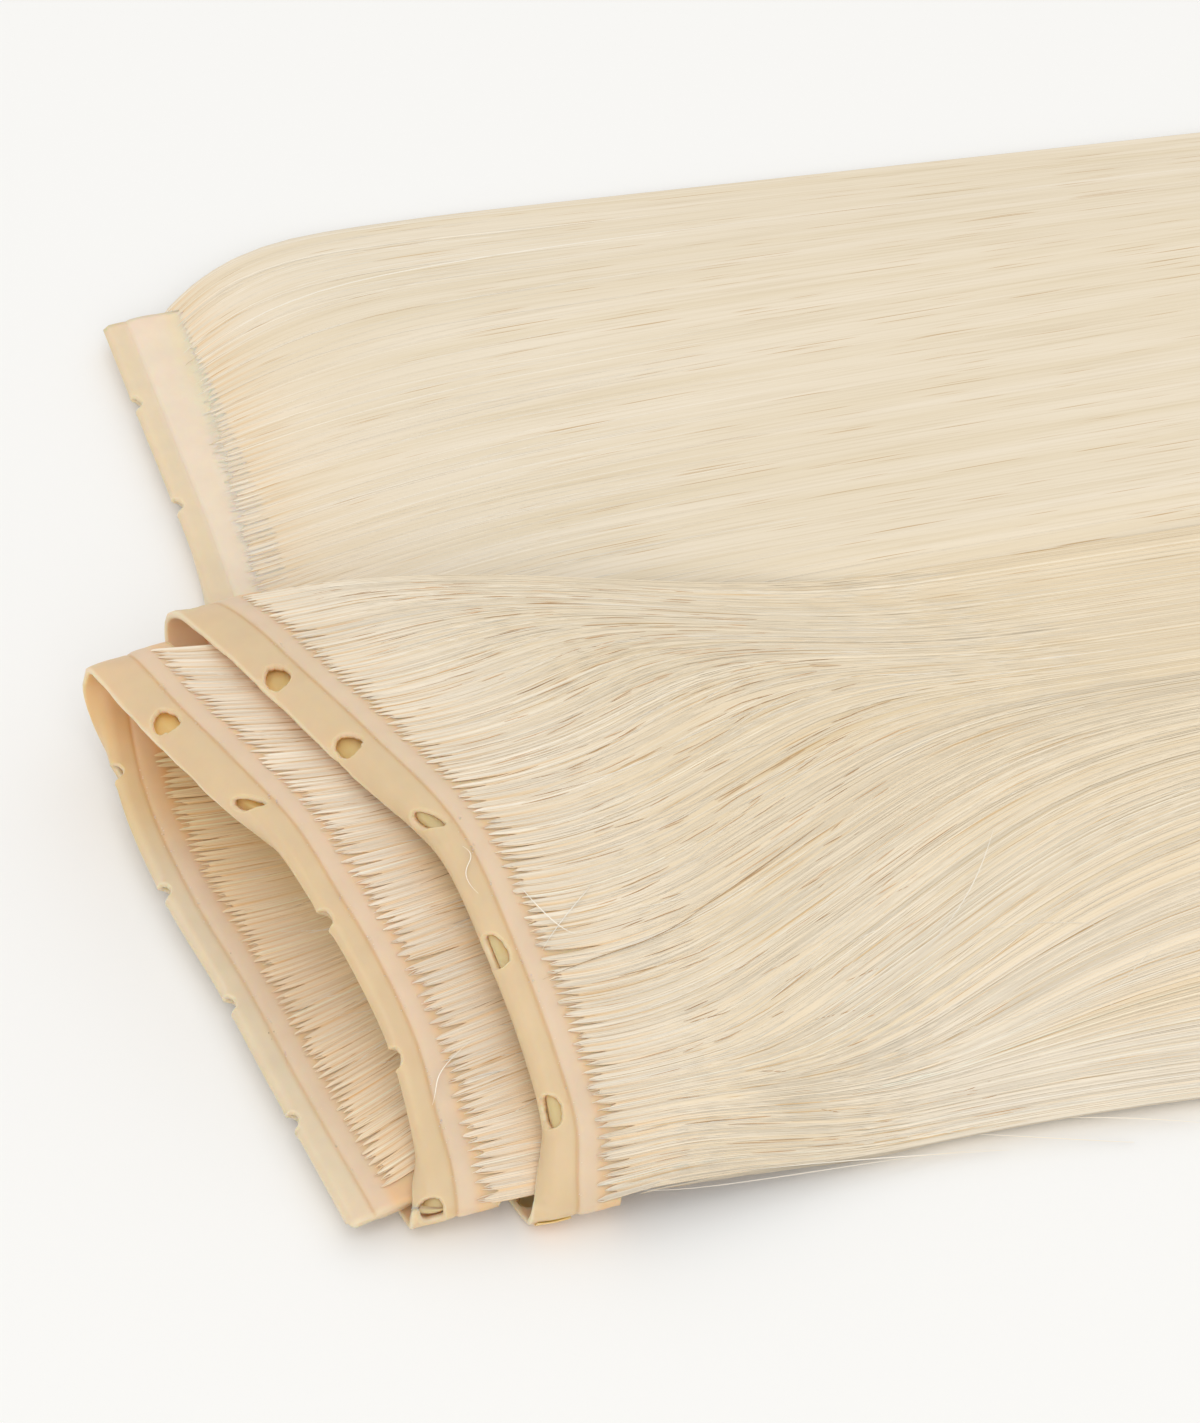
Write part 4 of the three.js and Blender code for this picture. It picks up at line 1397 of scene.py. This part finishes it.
def build_strays(material):
    """Single hairs that have come loose from the lie of the rest."""
    paths, tints = [], []
    for tint, spots in STRAYS:
        at = np.linspace(0, 1, len(spots))
        curve = np.polynomial.polynomial.polyfit(at, np.array(spots), min(3, len(spots) - 1))
        paths.append(np.polynomial.polynomial.polyval(np.linspace(0, 1, STRAY_STATIONS), curve).T)
        tints.append(tint)
    build_loose("stray_hairs", np.array(paths), STRAY_RADIUS, np.array(tints), material)


def build_specks():
    """Crumbs of cured polyurethane along the seams in sight."""
    sheets, tints = [], []
    for first, last, face, count in SPECK_RUNS:
        arc = random.uniform(*arc_of(np.array([first, last])), count)
        side = random.normal(*SPECK_SIDE, count)
        middle = band_points(arc, side, np.full(count, face))
        for spot in middle:
            size = random.uniform(*SPECK_SIZE) * random.uniform(*SPECK_FLAT, 3)
            sheets.append((spot + OCTAHEDRON * size, OCTAHEDRON_FACES))
            dark = face > 0 and random.uniform() < DARK_SPECKS
            tints.append(np.broadcast_to(SPECK_DARK if dark else SPECK_PALE, OCTAHEDRON.shape))
    points, triangles = joined(sheets)
    piece = new_mesh("seam_specks", points, triangles, band_material(), np.concatenate(tints))


# Stage

def towards(azimuth, elevation):
    """Unit direction from the part, by degrees round from the near side and up from the table."""
    a, e = math.radians(azimuth), math.radians(elevation)
    return Vector((math.sin(a) * math.cos(e), -math.cos(a) * math.cos(e), math.sin(e)))


def aim(thing, direction, distance):
    """Put a lamp or camera in a direction from the route's start, and turn it to face that start."""
    thing.location = Vector(place((0, 0, 0))) + direction * (distance * MM)
    thing.rotation_mode = "QUATERNION"
    thing.rotation_quaternion = direction.to_track_quat("Z", "Y")
    bpy.context.scene.collection.objects.link(thing)


def build_lamp(name, direction, energy):
    light = bpy.data.lights.new(name, "AREA")
    light.shape = "SQUARE"
    light.size = LAMP_SIZE * MM
    light.energy = energy
    lamp = bpy.data.objects.new(name, light)
    aim(lamp, direction, LAMP_DISTANCE)


def build_stage():
    floor_mesh = bpy.data.meshes.new("floor")
    corners = [(x * FLOOR_HALF, y * FLOOR_HALF, 0) for x, y in ((-1, -1), (1, -1), (1, 1), (-1, 1))]
    floor_mesh.from_pydata(corners, [], [(0, 1, 2, 3)])
    floor = bpy.data.objects.new("floor", floor_mesh)
    floor.location.z = -FLOOR_DROP
    bpy.context.scene.collection.objects.link(floor)
    material, _, shader = new_material("pale_floor", roughness=0.6, specular=0.2)
    shader.inputs["Base Color"].default_value = (*srgb(249, 248, 245), 1)
    floor_mesh.materials.append(material)
    world = bpy.data.worlds.new("soft_studio")
    world.use_nodes = True
    world.node_tree.nodes["Background"].inputs["Color"].default_value = (1, 1, 1, 1)
    world.node_tree.nodes["Background"].inputs["Strength"].default_value = WORLD_LIGHT
    bpy.context.scene.world = world
    for name, (azimuth, elevation, energy) in LAMPS.items():
        build_lamp(name, towards(azimuth, elevation), energy)
    bpy.context.scene.view_settings.view_transform = "Standard"


def build_camera():
    data = bpy.data.cameras.new("photo_camera")
    data.sensor_width = SENSOR
    data.lens = FOCAL_PIXELS * SENSOR / max(PHOTO_SIZE)
    data.clip_start = CLIP_START
    camera = bpy.data.objects.new("photo_camera", data)
    aim(camera, towards(VIEW_AZIMUTH, VIEW_ELEVATION), VIEW_DISTANCE)
    bpy.context.scene.camera = camera


build_camera()
build_stage()
build_band()
build_glow_lining()
strands = strand_material()
masses = bulk_material()
FLOWS = {name: Flow(name) for name in HAIR_RUNS}
for run_flow in FLOWS.values():
    build_bulk(run_flow, masses)
build_strands(FLOWS["hair_turn_4"], strands, per_bundle=7)
build_fan(FLOWS["hair_turn_4"], strands, count=700, spread=(-48.0, -12.0))
build_strands(FLOWS["hair_turn_5"], strands, per_bundle=4, lifts=(-0.07, 0.0))
for run_name in ("hair_turn_2", "hair_turn_1"):
    build_strands(FLOWS[run_name], strands, per_bundle=7, reach=ROOT_REACH, wander=0.25)
for run_name, *fleck_row in FLECK_ROWS:
    build_flecks(FLOWS[run_name], *fleck_row, strands)
build_strays(strands)
build_specks()
